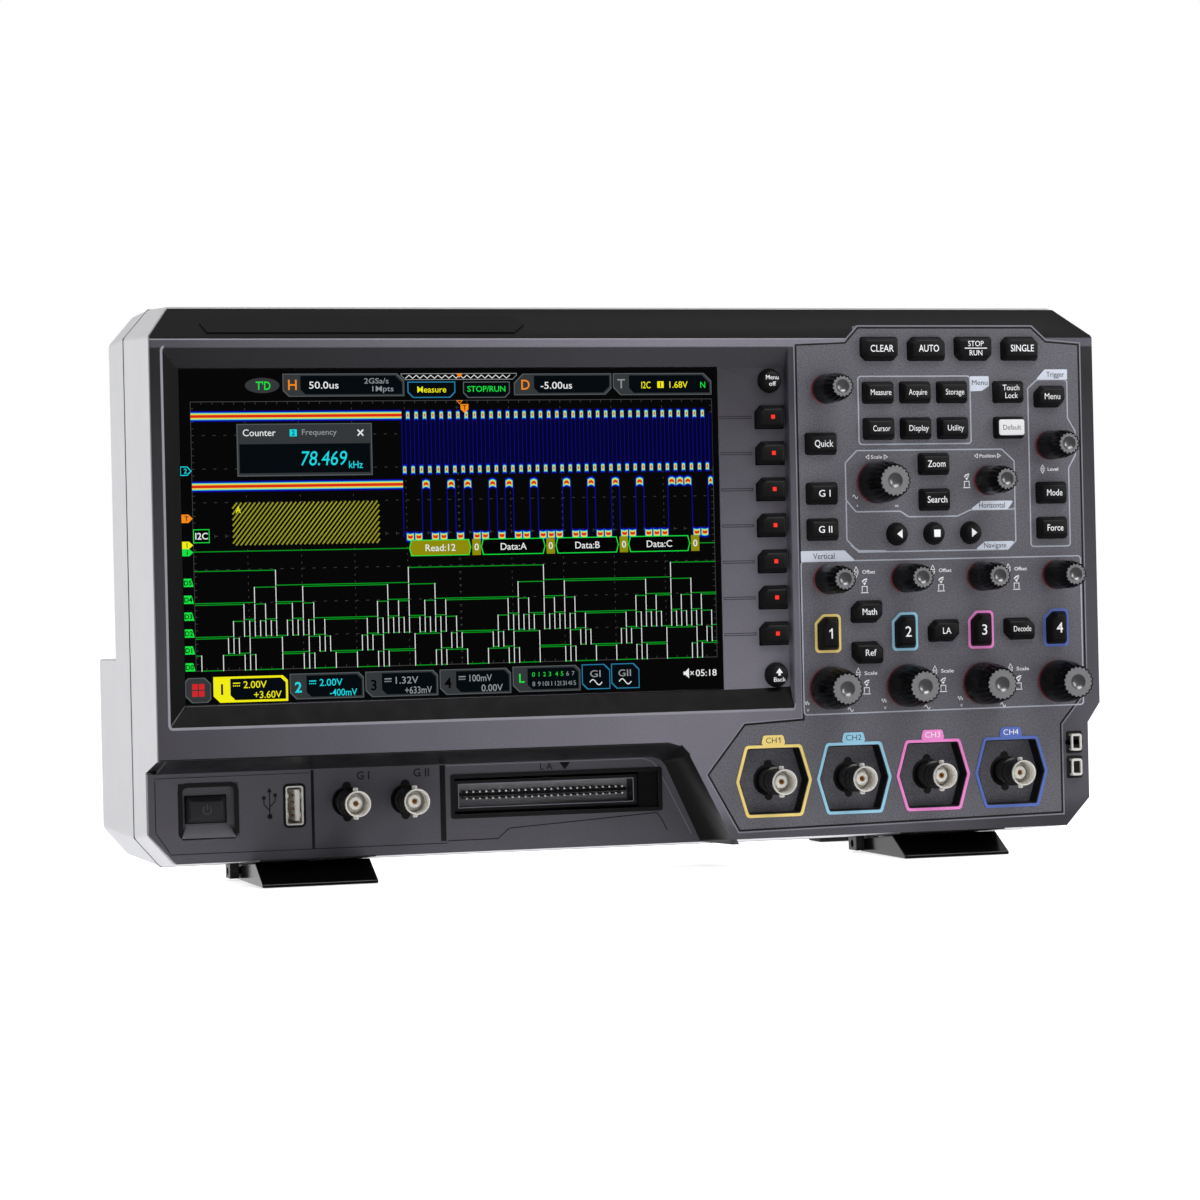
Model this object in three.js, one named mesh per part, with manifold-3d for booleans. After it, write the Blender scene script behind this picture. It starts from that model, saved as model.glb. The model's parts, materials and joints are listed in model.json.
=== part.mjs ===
// Bench mixed-signal oscilloscope with a 16-channel logic-analyser port.
// Millimetres. While modelling, X runs to the right, Y into the case from the front face (Y = 0)
// and Z up from the lower edge of the front face. The exported group stands on Z = 0.
import * as THREE from 'three';
import { mergeVertices } from 'three/addons/utils/BufferGeometryUtils.js';
import Module from 'manifold-3d';

const wasm = await Module();
wasm.setup();

// ---- driving dimensions --------------------------------------------------------------------
const HALF_WIDTH = 183.5;
const FRONT_TOP = 188;          // upper edge of the flat front face
const SLOPE_TOP = 200;          // upper edge of the slope above the front face
const SLOPE_DEPTH = 15.4;
const SEAM_TOP = 203;           // top of the case from the seam to the back
const SEAM_BOTTOM = -5;         // underside from the seam to the back
const SEAM_Y = 57;              // split between front frame and rear housing
const UPPER_BACK_Y = 91.5;      // back of the upper half
const LOWER_BACK_Y = 131;       // back of the lower bulge
const STEP_Z = 72;              // top of the lower bulge
const SOLE_Z = -10.5;           // surface that the instrument stands on
const CORNER_X = 9.5;           // width of the cut corners of the case
const CORNER_Z = 11;
const WALL = 2.6;
const GAP = 0.3;                // clearance between neighbouring pieces
const INSET = 0.7;              // clearance between the bezel's backing and the walls around it

const BEZEL_RIM = 2.5;          // depth of bezel that shows on the outside of the case
const BEZEL_BACK = 7;
const SCREEN_FLOOR = 4;         // depth of the recess that the screen lies in
const PANEL_THICKNESS = 3;
const STRIP_Y = 24.5;           // face of the set-back lower left strip
const STRIP_THICKNESS = 4;
const STRIP_BACK = STRIP_Y + STRIP_THICKNESS;
const STRIP_TOP = 31;
const STRIP_BOTTOM = -2;

const COLUMN_X = 72.3;          // first channel column and the pitch of the four columns
const COLUMN_PITCH = 31.2;
const OFFSET_Z = 96.7;
const SCALE_Z = 55.7;
const CHANNEL_KEY_Z = 76.3;
const MIDDLE_X = COLUMN_X + COLUMN_PITCH / 2;
const BNC_X = 49.3;
const BNC_PITCH = 32.2;
const BNC_Z = 21.5;
const SOCKET_DEPTH = 6.5;       // depth of the six-sided recess around each channel connector
const SOCKET_FLOOR = 2;
const GEN_BNC_X = [-109.5, -87.3];
const GEN_BNC_Z = 18.5;

const KEY_RISE = 3.6;           // how far a key stands out of its panel
const KEY_TAPER = 1.1;
const FLANGE = 0.9;
const FLANGE_FRONT = 3.6;
const FLANGE_BACK = 4.8;
const BOARD_Y = 10;
const BOARD_THICKNESS = 1.6;
const ENCODER_FRONT = 6.8;

// ---- geometry helpers -----------------------------------------------------------------------
function toManifold(geometry) {
  const plain = geometry.clone();
  plain.deleteAttribute('normal');
  plain.deleteAttribute('uv');
  const merged = mergeVertices(plain, 1e-4);
  const faces = [];
  for (let i = 0; i < merged.index.count; i += 3) {
    const [a, b, c] = [0, 1, 2].map((k) => merged.index.getX(i + k));
    if (a !== b && b !== c && c !== a) faces.push(a, b, c);
  }
  return new wasm.Manifold(new wasm.Mesh({
    numProp: 3,
    vertProperties: new Float32Array(merged.attributes.position.array),
    triVerts: new Uint32Array(faces),
  }));
}

function toGeometry(manifold) {
  const mesh = manifold.getMesh();
  const geometry = new THREE.BufferGeometry();
  geometry.setAttribute('position', new THREE.BufferAttribute(new Float32Array(mesh.vertProperties), 3));
  geometry.setIndex(Array.from(mesh.triVerts));
  return geometry;
}

function join(first, ...others) {
  return toGeometry(others.reduce((sum, piece) => sum.add(toManifold(piece)), toManifold(first)));
}

function cut(body, ...tools) {
  return toGeometry(tools.reduce((rest, tool) => rest.subtract(toManifold(tool)), toManifold(body)));
}

function common(first, second) {
  return toGeometry(toManifold(first).intersect(toManifold(second)));
}

// Skins over outlines of [x, z] points that stand at rising depths y, with both ends closed.
function loft(sections) {
  const count = sections[0].outline.length;
  const asVectors = (outline) => outline.map(([x, z]) => new THREE.Vector2(x, z));
  const clockwise = THREE.ShapeUtils.area(asVectors(sections[0].outline)) < 0;
  const rings = sections.map(({ y, outline }) => ({
    y, outline: clockwise ? [...outline].reverse() : outline }));
  const positions = rings.flatMap(({ y, outline }) => outline.flatMap(([x, z]) => [x, y, z]));
  const faces = [];
  for (let ring = 0; ring + 1 < rings.length; ring += 1) {
    for (let i = 0; i < count; i += 1) {
      const j = (i + 1) % count;
      const [near, far] = [ring * count, (ring + 1) * count];
      faces.push(near + i, far + i, far + j, near + i, far + j, near + j);
    }
  }
  const last = (rings.length - 1) * count;
  const addCap = (outline, start, facesFront) => {
    const points = asVectors(outline);
    for (const triangle of THREE.ShapeUtils.triangulateShape(points, [])) {
      const [p, q, r] = triangle.map((i) => points[i]);
      const turnsLeft = (q.x - p.x) * (r.y - p.y) - (q.y - p.y) * (r.x - p.x) > 0;
      const [i, j, k] = turnsLeft === facesFront ? triangle : [triangle[0], triangle[2], triangle[1]];
      faces.push(start + i, start + j, start + k);
    }
  };
  addCap(rings[0].outline, 0, true);
  addCap(rings[rings.length - 1].outline, last, false);
  const geometry = new THREE.BufferGeometry();
  geometry.setAttribute('position', new THREE.Float32BufferAttribute(positions, 3));
  geometry.setIndex(faces);
  return geometry;
}

function prism(outline, front, back) {
  return loft([{ y: front, outline }, { y: back, outline }]);
}

// A profile of [y, z] points swept along X.
function beam(profile, left, right) {
  return prism(profile.map(([y, z]) => [-y, z]), left, right).rotateZ(-Math.PI / 2);
}

function block([left, right], [front, back], [bottom, top]) {
  const geometry = new THREE.BoxGeometry(right - left, back - front, top - bottom);
  return geometry.translate((left + right) / 2, (front + back) / 2, (bottom + top) / 2);
}

function disc(x, z, radius, front, back, segments = 16) {
  const geometry = new THREE.CylinderGeometry(radius, radius, back - front, segments);
  return geometry.translate(0, (front + back) / 2, 0).translate(x, 0, z);
}

// An upright round post.
function post(x, y, radius, bottom, top) {
  const geometry = new THREE.CylinderGeometry(radius, radius, top - bottom, 16);
  return geometry.rotateX(Math.PI / 2).translate(x, y, (bottom + top) / 2);
}

// Profile of [radius, y] points turned about an axis along Y through (x, z).
function turned(profile, x, z, segments) {
  const points = profile.map(([radius, y]) => new THREE.Vector2(radius, y));
  return new THREE.LatheGeometry(points, segments).translate(x, 0, z);
}

function rectangle(x, z, width, height, cuts = {}) {
  const [w, h] = [width / 2, height / 2];
  const corner = (name, sx, sz) => {
    const size = cuts[name] ?? 0;
    if (!size) return [[x + sx * w, z + sz * h]];
    const onSide = [x + sx * w, z + sz * (h - size)];
    const onEnd = [x + sx * (w - size), z + sz * h];
    return sx * sz > 0 ? [onSide, onEnd] : [onEnd, onSide];
  };
  return [...corner('br', 1, -1), ...corner('tr', 1, 1), ...corner('tl', -1, 1), ...corner('bl', -1, -1)];
}

// Moves every edge of an outline outwards by a distance, or inwards where it is negative.
function grow(outline, distance) {
  const points = outline.map(([x, z]) => new THREE.Vector2(x, z));
  const outward = THREE.ShapeUtils.area(points) > 0 ? 1 : -1;
  const count = points.length;
  return points.map((point, i) => {
    const before = point.clone().sub(points[(i + count - 1) % count]).normalize();
    const after = points[(i + 1) % count].clone().sub(point).normalize();
    const n1 = new THREE.Vector2(before.y, -before.x).multiplyScalar(outward);
    const n2 = new THREE.Vector2(after.y, -after.x).multiplyScalar(outward);
    const mid = n1.clone().add(n2);
    mid.multiplyScalar(distance * 2 / mid.lengthSq());
    return [point.x + mid.x, point.y + mid.y];
  });
}

// ---- materials and the assembly ---------------------------------------------------------------
const instrument = new THREE.Group();
const finishes = {
  dark: { color: 0x47454b, roughness: 0.55, metalness: 0 },
  panel: { color: 0x68676d, roughness: 0.6, metalness: 0 },
  light: { color: 0xd6d6db, roughness: 0.5, metalness: 0 },
  black: { color: 0x151416, roughness: 0.5, metalness: 0 },
  gloss: { color: 0x08080a, roughness: 0.2, metalness: 0 },
  glass: { color: 0x050506, roughness: 0.1, metalness: 0 },
  steel: { color: 0xb9bbbe, roughness: 0.3, metalness: 1 },
  nickel: { color: 0xc9c5bd, roughness: 0.2, metalness: 1 },
  board: { color: 0x1d5a34, roughness: 0.6, metalness: 0 },
  white: { color: 0xe8e8e8, roughness: 0.5, metalness: 0 },
};

function add(name, geometry, finish) {
  const mesh = new THREE.Mesh(geometry, new THREE.MeshStandardMaterial(finishes[finish]));
  mesh.name = name;
  instrument.add(mesh);
}

// ---- casing ---------------------------------------------------------------------------------
// Outline of the case with its four cut corners, between a top and a bottom height.
function caseOutline(top, bottom, halfWidth = HALF_WIDTH) {
  const inner = halfWidth - CORNER_X;
  return [
    [inner, bottom], [halfWidth, bottom + CORNER_Z], [halfWidth, top - CORNER_Z], [inner, top],
    [-inner, top], [-halfWidth, top - CORNER_Z], [-halfWidth, bottom + CORNER_Z], [-inner, bottom]];
}

// Everything that lies in front of the face: upright up to FRONT_TOP, sloping back above it.
function aheadOfFace(depth) {
  const run = SLOPE_DEPTH / (SLOPE_TOP - FRONT_TOP);
  const high = FRONT_TOP + 20;
  const profile = [[-40, -60], [depth, -60], [depth, FRONT_TOP], [depth + run * 20, high], [-40, high]];
  return beam(profile, -220, 220);
}

const frontOutline = caseOutline(SLOPE_TOP, 0);
const seamOutline = caseOutline(SEAM_TOP, SEAM_BOTTOM);

// The set-back lower left corner: outlines at the front face and at the strip.
const recessFront = [[-200, -40], [53, -40], [32.6, 0], [16.3, 32.3], [13, 36], [8, 37], [-200, 37]];
const recessBack = [
  [-200, -40], [45, -40], [27.2, -0.6], [14.3, 27.7], [12.4, 29.9], [9, STRIP_TOP], [-200, STRIP_TOP]];
const recess = loft([{ y: -1, outline: recessFront }, { y: STRIP_Y, outline: recessBack }]);
const RECESS_WALL = 1.8;
const recessShell = loft([
  { y: 2, outline: grow(recessFront, RECESS_WALL) },
  { y: STRIP_BACK, outline: grow(recessBack, RECESS_WALL) },
]);
const RECESS_REACH = 38;        // how far right the walls of the recess reach along the underside

// Screen recess: its rim on the front face and its floor.
const SCREEN_RIM = { left: -179.3, right: 58.2, bottom: 48, top: 185.2 };
const GLASS = { left: -172.3, right: 31.4, bottom: 56.6, top: 177.2, back: 6.8 };
const screenRim = [
  [SCREEN_RIM.left, SCREEN_RIM.bottom], [SCREEN_RIM.right, SCREEN_RIM.bottom],
  [SCREEN_RIM.right, SCREEN_RIM.top], [SCREEN_RIM.left, SCREEN_RIM.top]];
const screenFloor = [[GLASS.left, GLASS.bottom], [SCREEN_RIM.right, GLASS.bottom],
  [SCREEN_RIM.right, GLASS.top], [GLASS.left, GLASS.top]];

const panelOutline = [
  [61.8, 185.3], [61.8, 44], [38.3, 42.8], [23.4, 24.6], [35.3, 3.3], [166.8, 5.2], [166.8, 39.2],
  [177.6, 52], [177.6, 185.3], [164, 186.4], [158, 191.8], [87, 191.8], [81.7, 186.1]];

// Keys of the bezel and the strip, as outlines of their holes.
const softKeys = [...Array(7).keys()].map((i) => rectangle(52, 158.4 - 13.6 * i, 11.2, 8.4, { tl: 2.2 }));
const ROUND_KEYS = { menu_off_key: [52.3, 172.2, 4.4], back_key: [52.6, 61.2, 4.5] };
const powerKey = rectangle(-162, 17.6, 15, 9.8);
const powerWell = rectangle(-161.3, 17, 20.6, 19, { bl: 1, br: 1 });
const USB = { x: -129.3, z: 17.8, width: 6.6, height: 14.4 };
const LOGIC_SLOT = rectangle(-28.5, 18.8, 79.8, 13.6);
const LOGIC = { x: -32.3, z: 18.8, width: 71.4, height: 11.4 };

// The lower right edge of the front is set in, beside the two probe terminals.
const SIDE_STEP_Y = 12;
const sideStep = [
  [178.3, 39.5], [183.6, 47.2], [200, 47.2], [200, -20], [148.6, -20], [168.6, 0], [178.3, 10.5]];
const PROBE_TERMINALS = [{ x: 172.3, z: 32 }, { x: 172.3, z: 22.4 }];
const TERMINAL = { width: 4.4, height: 6.6, rise: 2.6 };

function makeBezel() {
  const rim = cut(prism(frontOutline, 0, 20), aheadOfFace(0));
  const front = common(rim, aheadOfFace(BEZEL_RIM));
  const inner = caseOutline(SLOPE_TOP - WALL - INSET, SEAM_BOTTOM + 9, HALF_WIDTH - WALL - INSET);
  const backing = cut(prism(inner, BEZEL_RIM - 1, BEZEL_BACK), aheadOfFace(0.5));
  const bump = prism([[81.5, 180], [87, 192.8], [158.2, 192.8], [164.2, 180]], 0, 8);
  const underside = block([-200, 200], [-10, 60], [-40, 0]);
  const pastSide = block([-200, RECESS_REACH], [2, STRIP_BACK + 1], [-3, 60]);
  const strip = prism([
    [-HALF_WIDTH, STRIP_TOP], [-HALF_WIDTH, 9], [-173.5, STRIP_BOTTOM], [28, STRIP_BOTTOM], [28, STRIP_TOP],
  ], STRIP_Y, STRIP_BACK);
  const sideLimit = prism(caseOutline(60, STRIP_BOTTOM, HALF_WIDTH - WALL - INSET), -2, 40);
  const walls = common(common(recessShell, pastSide), sideLimit);
  const sideWall = block([170, 182], [BEZEL_RIM - 1, SIDE_STEP_Y], [9, 50]);
  const innerLimit = prism(inner, 0, 40);
  const whole = join(front, backing, bump, common(sideWall, innerLimit));
  const body = cut(whole, underside, prism(sideStep, -2, 40));
  const holes = [
    prism(grow(panelOutline, 0.4), -2, PANEL_THICKNESS + GAP),
    prism(grow(panelOutline, -1.2), 1, 40),
    loft([{ y: -0.2, outline: grow(screenRim, 0.3) }, { y: SCREEN_FLOOR, outline: screenFloor }]),
    block(
      [GLASS.left - GAP, GLASS.right + GAP], [SCREEN_FLOOR - 1, 9], [GLASS.bottom - GAP, GLASS.top + GAP]),
    ...softKeys.map((outline) => prism(grow(outline, GAP), 1, 9)),
    ...Object.values(ROUND_KEYS).map(([x, z, radius]) => disc(x, z, radius + GAP, 1, 9)),
    loft([{ y: STRIP_Y - 0.2, outline: grow(powerWell, 1) }, { y: STRIP_Y + 2.5, outline: powerWell }]),
    prism(grow(powerKey, GAP), STRIP_Y, 40),
    prism(rectangle(USB.x, USB.z, USB.width + 2 * GAP, USB.height + 2 * GAP), STRIP_Y - 1, 40),
    prism(LOGIC_SLOT, STRIP_Y - 1, 40),
    ...GEN_BNC_X.map((x) => bncHole(x, GEN_BNC_Z, STRIP_Y - 1, 40)),
    ...PROBE_TERMINALS.map(({ x, z }) => prism(
      rectangle(x, z, TERMINAL.width + 2 * GAP, TERMINAL.height + 2 * GAP), -2, 40)),
  ];
  return cut(join(cut(body, recess), cut(walls, recess), strip), ...holes);
}

function makeFrontFrame() {
  const start = BEZEL_RIM + GAP;
  const outer = loft([{ y: start, outline: frontOutline }, { y: SEAM_Y, outline: seamOutline }]);
  const inner = loft([
    { y: start - 1, outline: caseOutline(SLOPE_TOP - WALL, SEAM_BOTTOM + 8, HALF_WIDTH - WALL) },
    { y: 26, outline: caseOutline(SLOPE_TOP - WALL + 1.2, SEAM_BOTTOM + 5, HALF_WIDTH - WALL) },
    { y: SEAM_Y + 1, outline: caseOutline(SEAM_TOP - WALL, SEAM_BOTTOM + WALL, HALF_WIDTH - WALL) },
  ]);
  const notch = beam([
    [-5, 36.6], [start + 1, 36.4], [STRIP_BACK + GAP, STRIP_TOP + 0.4],
    [STRIP_BACK + GAP, -40], [-5, -40]], -200, RECESS_REACH + GAP);
  const stepRoom = prism(grow(sideStep, 1), -2, SIDE_STEP_Y + GAP);
  return cut(outer, inner, aheadOfFace(start), notch, stepRoom);
}

function makeRearHousing() {
  const front = SEAM_Y + GAP;
  const overStep = (z, y) => block([-200, 200], [y, 200], [z, 300]);
  const outer = cut(prism(seamOutline, front, LOWER_BACK_Y), overStep(STEP_Z, UPPER_BACK_Y));
  const innerOutline = caseOutline(SEAM_TOP - WALL, SEAM_BOTTOM + WALL, HALF_WIDTH - WALL);
  const inner = cut(
    prism(innerOutline, front - 1, LOWER_BACK_Y - WALL), overStep(STEP_Z - WALL, UPPER_BACK_Y - WALL));
  const tray = block([-HANDLE.reach - 5, HANDLE.reach + 5], [61, 87], [HANDLE.floor - 2.4, SEAM_TOP - 1]);
  const throughBack = [UPPER_BACK_Y - 10, UPPER_BACK_Y + 10];
  const fanVents = [...Array(11).keys()].map((i) => block(
    [FAN.x - 36, FAN.x + 36], throughBack, [FAN.z - 33 + 6 * i, FAN.z - 30.4 + 6 * i]));
  const airInlets = [...Array(9).keys()].map((i) => block(
    [60 + 7 * i, 63 + 7 * i], throughBack, [110, 165]));
  const footHoles = REAR_FEET_X.map((x) => post(x, 115, 3.4, SEAM_BOTTOM - 5, SEAM_BOTTOM + 5));
  const holes = [
    block([-HANDLE.reach, HANDLE.reach], [63, 85], [HANDLE.floor, 300]),
    ...[-1, 1].map((side) => block(
      [side * HANDLE.leg - 5.5, side * HANDLE.leg + 5.5], [71.8, 76.2], [150, 300])),
    ...fanVents, ...airInlets, ...footHoles,
    prism(rectangle(INLET.x, INLET.z, INLET.width + 2 * GAP, INLET.height + 2 * GAP), 120, 140),
    prism(rectangle(PORTS.x, PORTS.z, PORTS.width + 2 * GAP, PORTS.height + 2 * GAP), 120, 140),
  ];
  return cut(join(cut(outer, inner), tray), ...holes);
}

function makeControlPanel() {
  const sockets = BNC_COLUMNS.map((x) => prism(
    grow(hexagon(x), 1.4), PANEL_THICKNESS - 1, SOCKET_DEPTH + SOCKET_FLOOR));
  const holes = [
    ...BNC_COLUMNS.map((x) => prism(hexagon(x), -1, SOCKET_DEPTH)),
    ...BNC_COLUMNS.map((x) => bncHole(x, BNC_Z, 1, 20)),
    ...Object.values(knobs).map(({ x, z }) => disc(x, z, SHAFT_RADIUS + 0.4, -1, 20)),
    ...Object.values(panelKeys).flat().map((key) => (key.radius
      ? disc(key.x, key.z, key.radius + GAP, -1, 20)
      : prism(grow(key.outline, GAP), -1, 20))),
  ];
  return cut(join(prism(panelOutline, 0, PANEL_THICKNESS), ...sockets), ...holes);
}

// ---- channel sockets, knobs and keys ----------------------------------------------------------
const BNC_COLUMNS = [0, 1, 2, 3].map((i) => BNC_X + BNC_PITCH * i);

// Six-sided recess around a channel connector, inside its coloured frame.
function hexagon(x) {
  const z = 21.4;
  return [[x - 10.2, z - 12.3], [x + 10.2, z - 12.3], [x + 13.8, z], [x + 10.2, z + 12.3],
    [x - 10.2, z + 12.3], [x - 13.8, z]];
}

const SHAFT_RADIUS = 3;
const LARGE = { base: 8.2, face: 6.3 };
const SMALL = { base: 5.65, face: 4.5 };
const KNOB_RISE = 19.5;
const knobs = {
  multifunction_knob: { x: 73, z: 168.6, size: SMALL },
  horizontal_scale_knob: { x: 93.2, z: 133.2, size: LARGE },
  horizontal_position_knob: { x: 138.5, z: 133.3, size: SMALL },
  trigger_level_knob: { x: 164.3, z: 146.5, size: SMALL },
};
for (let i = 0; i < 4; i += 1) {
  knobs[`offset_knob_${i + 1}`] = { x: COLUMN_X + COLUMN_PITCH * i, z: OFFSET_Z, size: SMALL };
  knobs[`scale_knob_${i + 1}`] = { x: COLUMN_X + COLUMN_PITCH * i, z: SCALE_Z, size: LARGE };
}

function makeKnob({ x, z, size }) {
  return turned([
    [0, -KNOB_RISE], [size.face, -KNOB_RISE], [size.base, -2], [size.base, -0.5], [SHAFT_RADIUS, -0.5],
    [SHAFT_RADIUS, ENCODER_FRONT - 0.4], [0, ENCODER_FRONT - 0.4]], x, z, 18);
}

// A key is a hollow-free rubber block with sloping sides. Keys of one group stand on one carrier.
const plainKey = (x, z, cuts = {}, width = 12.4, height = 8) => ({
  x, z, outline: rectangle(x, z, width, height, cuts) });
const CUT = 2.6;
const channelKey = (i) => plainKey(COLUMN_X + COLUMN_PITCH * i, CHANNEL_KEY_Z, { tl: CUT }, 8, 12);
const topKey = (i, cuts) => plainKey(95.2 + 19.2 * i, 183.8, cuts, 15, 8.8);
const roundKey = (x, z, radius) => ({ x, z, radius });
const panelKeys = {
  clear_key: [topKey(0, { bl: 2, br: 2 })],
  auto_key: [topKey(1, { tl: 2, tr: 2 })],
  run_stop_key: [topKey(2, { bl: 2, br: 2 })],
  single_key: [topKey(3, { tl: 2, tr: 2 })],
  channel_1_key: [channelKey(0)],
  channel_2_key: [channelKey(1)],
  channel_3_key: [channelKey(2)],
  channel_4_key: [channelKey(3)],
  menu_keys: [167.2, 153.5].flatMap((z) => [94.4, 109.5, 124.6].map((x) => plainKey(x, z))),
  touch_lock_key: [plainKey(147.8, 167.2)],
  default_key: [plainKey(147.8, 153.5)],
  quick_and_generator_keys: [148, 129.2, 115.6].map((z) => plainKey(70.9, z)),
  zoom_and_search_keys: [139.9, 126.3].map((z) => plainKey(116.5, z)),
  navigate_keys: [101, 116.1, 131.2].map((x) => roundKey(x, 113.4, 4.15)),
  trigger_keys: [
    plainKey(164.9, 165.3, { tl: CUT, br: CUT }), plainKey(164.9, 128.3), plainKey(164.9, 114.8)],
  math_ref_la_decode_keys: [
    plainKey(MIDDLE_X, 84.2, { tl: CUT, br: CUT }), plainKey(MIDDLE_X, 68.7, { tr: CUT, bl: CUT }),
    plainKey(MIDDLE_X + COLUMN_PITCH, CHANNEL_KEY_Z, { tl: CUT, br: CUT }),
    plainKey(MIDDLE_X + 2 * COLUMN_PITCH, CHANNEL_KEY_Z, { tr: CUT, bl: CUT })],
};

// Bars behind the panel that tie the keys of a group together, as [x range, z range].
const carriers = {
  menu_keys: [[[93, 126], [164, 170]], [[93, 126], [150, 157]], [[107, 112], [154, 166]]],
  quick_and_generator_keys: [[[68, 74], [114, 150]]],
  zoom_and_search_keys: [[[114, 119], [124, 142]]],
  navigate_keys: [[[99, 133], [111, 116]]],
  trigger_keys: [[[168.4, 171.4], [113, 167]]],
  math_ref_la_decode_keys: [
    [[MIDDLE_X - 4, MIDDLE_X], [66, 86]],
    [[MIDDLE_X - 4, MIDDLE_X + 2 * COLUMN_PITCH + 2], [60.3, 66.2]],
    [[MIDDLE_X + COLUMN_PITCH - 2, MIDDLE_X + COLUMN_PITCH + 2], [64, 78]],
    [[MIDDLE_X + 2 * COLUMN_PITCH - 2, MIDDLE_X + 2 * COLUMN_PITCH + 2], [64, 78]]],
};

// Key body through a panel whose face is at depth face, with a flange behind the panel.
function keyBody(key, face = 0, flangeFront = FLANGE_FRONT, flangeBack = FLANGE_BACK) {
  if (key.radius) {
    return turned([
      [0, face - KEY_RISE], [key.radius - KEY_TAPER, face - KEY_RISE], [key.radius, face - 1],
      [key.radius, flangeFront], [key.radius + FLANGE, flangeFront], [key.radius + FLANGE, flangeBack],
      [0, flangeBack]], key.x, key.z, 16);
  }
  const stem = loft([
    { y: face - KEY_RISE, outline: grow(key.outline, -KEY_TAPER) },
    { y: face - 1, outline: key.outline },
    { y: flangeFront + 0.5, outline: key.outline }]);
  return join(stem, prism(grow(key.outline, FLANGE), flangeFront, flangeBack));
}

function makeKeys(name) {
  const bars = (carriers[name] ?? []).map(([across, up]) => block(across, [FLANGE_FRONT, FLANGE_BACK], up));
  const [first, ...rest] = panelKeys[name].map((key) => keyBody(key));
  return rest.length ? join(first, ...rest, ...bars) : first;
}

const BEZEL_FLANGE = [BEZEL_BACK + 0.4, BEZEL_BACK + 1.4];

function makeSoftKeys() {
  const bodies = softKeys.map((outline) => keyBody({ outline }, SCREEN_FLOOR, ...BEZEL_FLANGE));
  return join(...bodies, block([50, 54], BEZEL_FLANGE, [76, 160]));
}

function makePowerKey() {
  return keyBody({ outline: powerKey }, STRIP_Y + 2.5, STRIP_BACK + 0.4, STRIP_BACK + 1.4);
}

// ---- connectors -------------------------------------------------------------------------------
const BNC = { outer: 4.85, bore: 4.1, insulator: 2.4, pin: 0.7, depth: 9, lug: 1.05, lugReach: 5.9 };

// Bayonet connector on a square base: its open end is at depth front, its base starts at depth base.
function makeBnc(x, z, front, base, baseSize, back) {
  const profile = [
    [0, front + 3], [BNC.pin, front + 3], [BNC.pin, front + 4.5], [BNC.insulator, front + 4.5],
    [BNC.insulator, front + BNC.depth], [BNC.bore, front + BNC.depth], [BNC.bore, front],
    [BNC.outer, front], [BNC.outer, base + 0.5], [0, base + 0.5]];
  const lug = (side) => new THREE.CylinderGeometry(BNC.lug, BNC.lug, BNC.lugReach - BNC.bore - 0.2, 6)
    .rotateX(Math.PI / 2)
    .translate(x, front + 4, z + side * (BNC.lugReach + BNC.bore + 0.2) / 2);
  const half = baseSize / 2;
  const foot = block([x - half, x + half], [base, back], [z - half, z + half]);
  return join(turned(profile, x, z, 16), lug(1), lug(-1), foot);
}

// Notches let the bayonet lugs through when the panel is put on over the connectors.
function bncHole(x, z, front, back) {
  return join(disc(x, z, 5.2, front, back), block([x - 1.5, x + 1.5], [front, back], [z - 6.4, z + 6.4]));
}

const PIN_PITCH = 2.54;
const PIN = 0.64;

function makeLogicPort() {
  const { x, z, width, height } = LOGIC;
  const front = STRIP_Y + 1.5;
  const body = prism(rectangle(x, z, width, height), front, 38);
  const cavity = prism(rectangle(x, z, width - 3, height - 2.6), front - 1, front + 8.5);
  const keyway = block([x - 2.2, x + 2.2], [front - 1, front + 8.5], [z, z + height]);
  const pins = [];
  for (let column = 0; column < 25; column += 1) {
    for (const row of [-0.5, 0.5]) {
      const [px, pz] = [x + (column - 12) * PIN_PITCH, z + row * PIN_PITCH];
      pins.push(prism(rectangle(px, pz, PIN, PIN), front + 2.4, front + 9));
    }
  }
  return join(cut(body, cavity, keyway), ...pins);
}

function makeUsbPort() {
  const shell = prism(rectangle(USB.x, USB.z, USB.width, USB.height), STRIP_Y - 0.4, 38.5);
  const cavity = prism(rectangle(USB.x, USB.z, USB.width - 1.2, USB.height - 1.2), STRIP_Y - 2, 37);
  const tongue = prism(rectangle(USB.x + 2.4, USB.z, 0.9, USB.height - 3), STRIP_Y + 1.2, 37.5);
  return join(cut(shell, cavity), tongue);
}

function makeProbeTerminal({ x, z }) {
  const strap = prism(rectangle(x, z, TERMINAL.width, TERMINAL.height), -TERMINAL.rise, 9);
  return cut(strap, block([x - 4, x + 4], [1 - TERMINAL.rise, -0.6], [z - 2.1, z + 2.1]));
}

// ---- inside the case --------------------------------------------------------------------------
function makeKeypadBoard() {
  const outline = [[44, 50.6], [176, 50.6], [176, 187], [44, 187]];
  const encoders = Object.values(knobs).map(({ x, z }) => prism(
    rectangle(x, z, 12, 12), ENCODER_FRONT, BOARD_Y + 0.5));
  return join(prism(outline, BOARD_Y, BOARD_Y + BOARD_THICKNESS), ...encoders);
}

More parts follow.
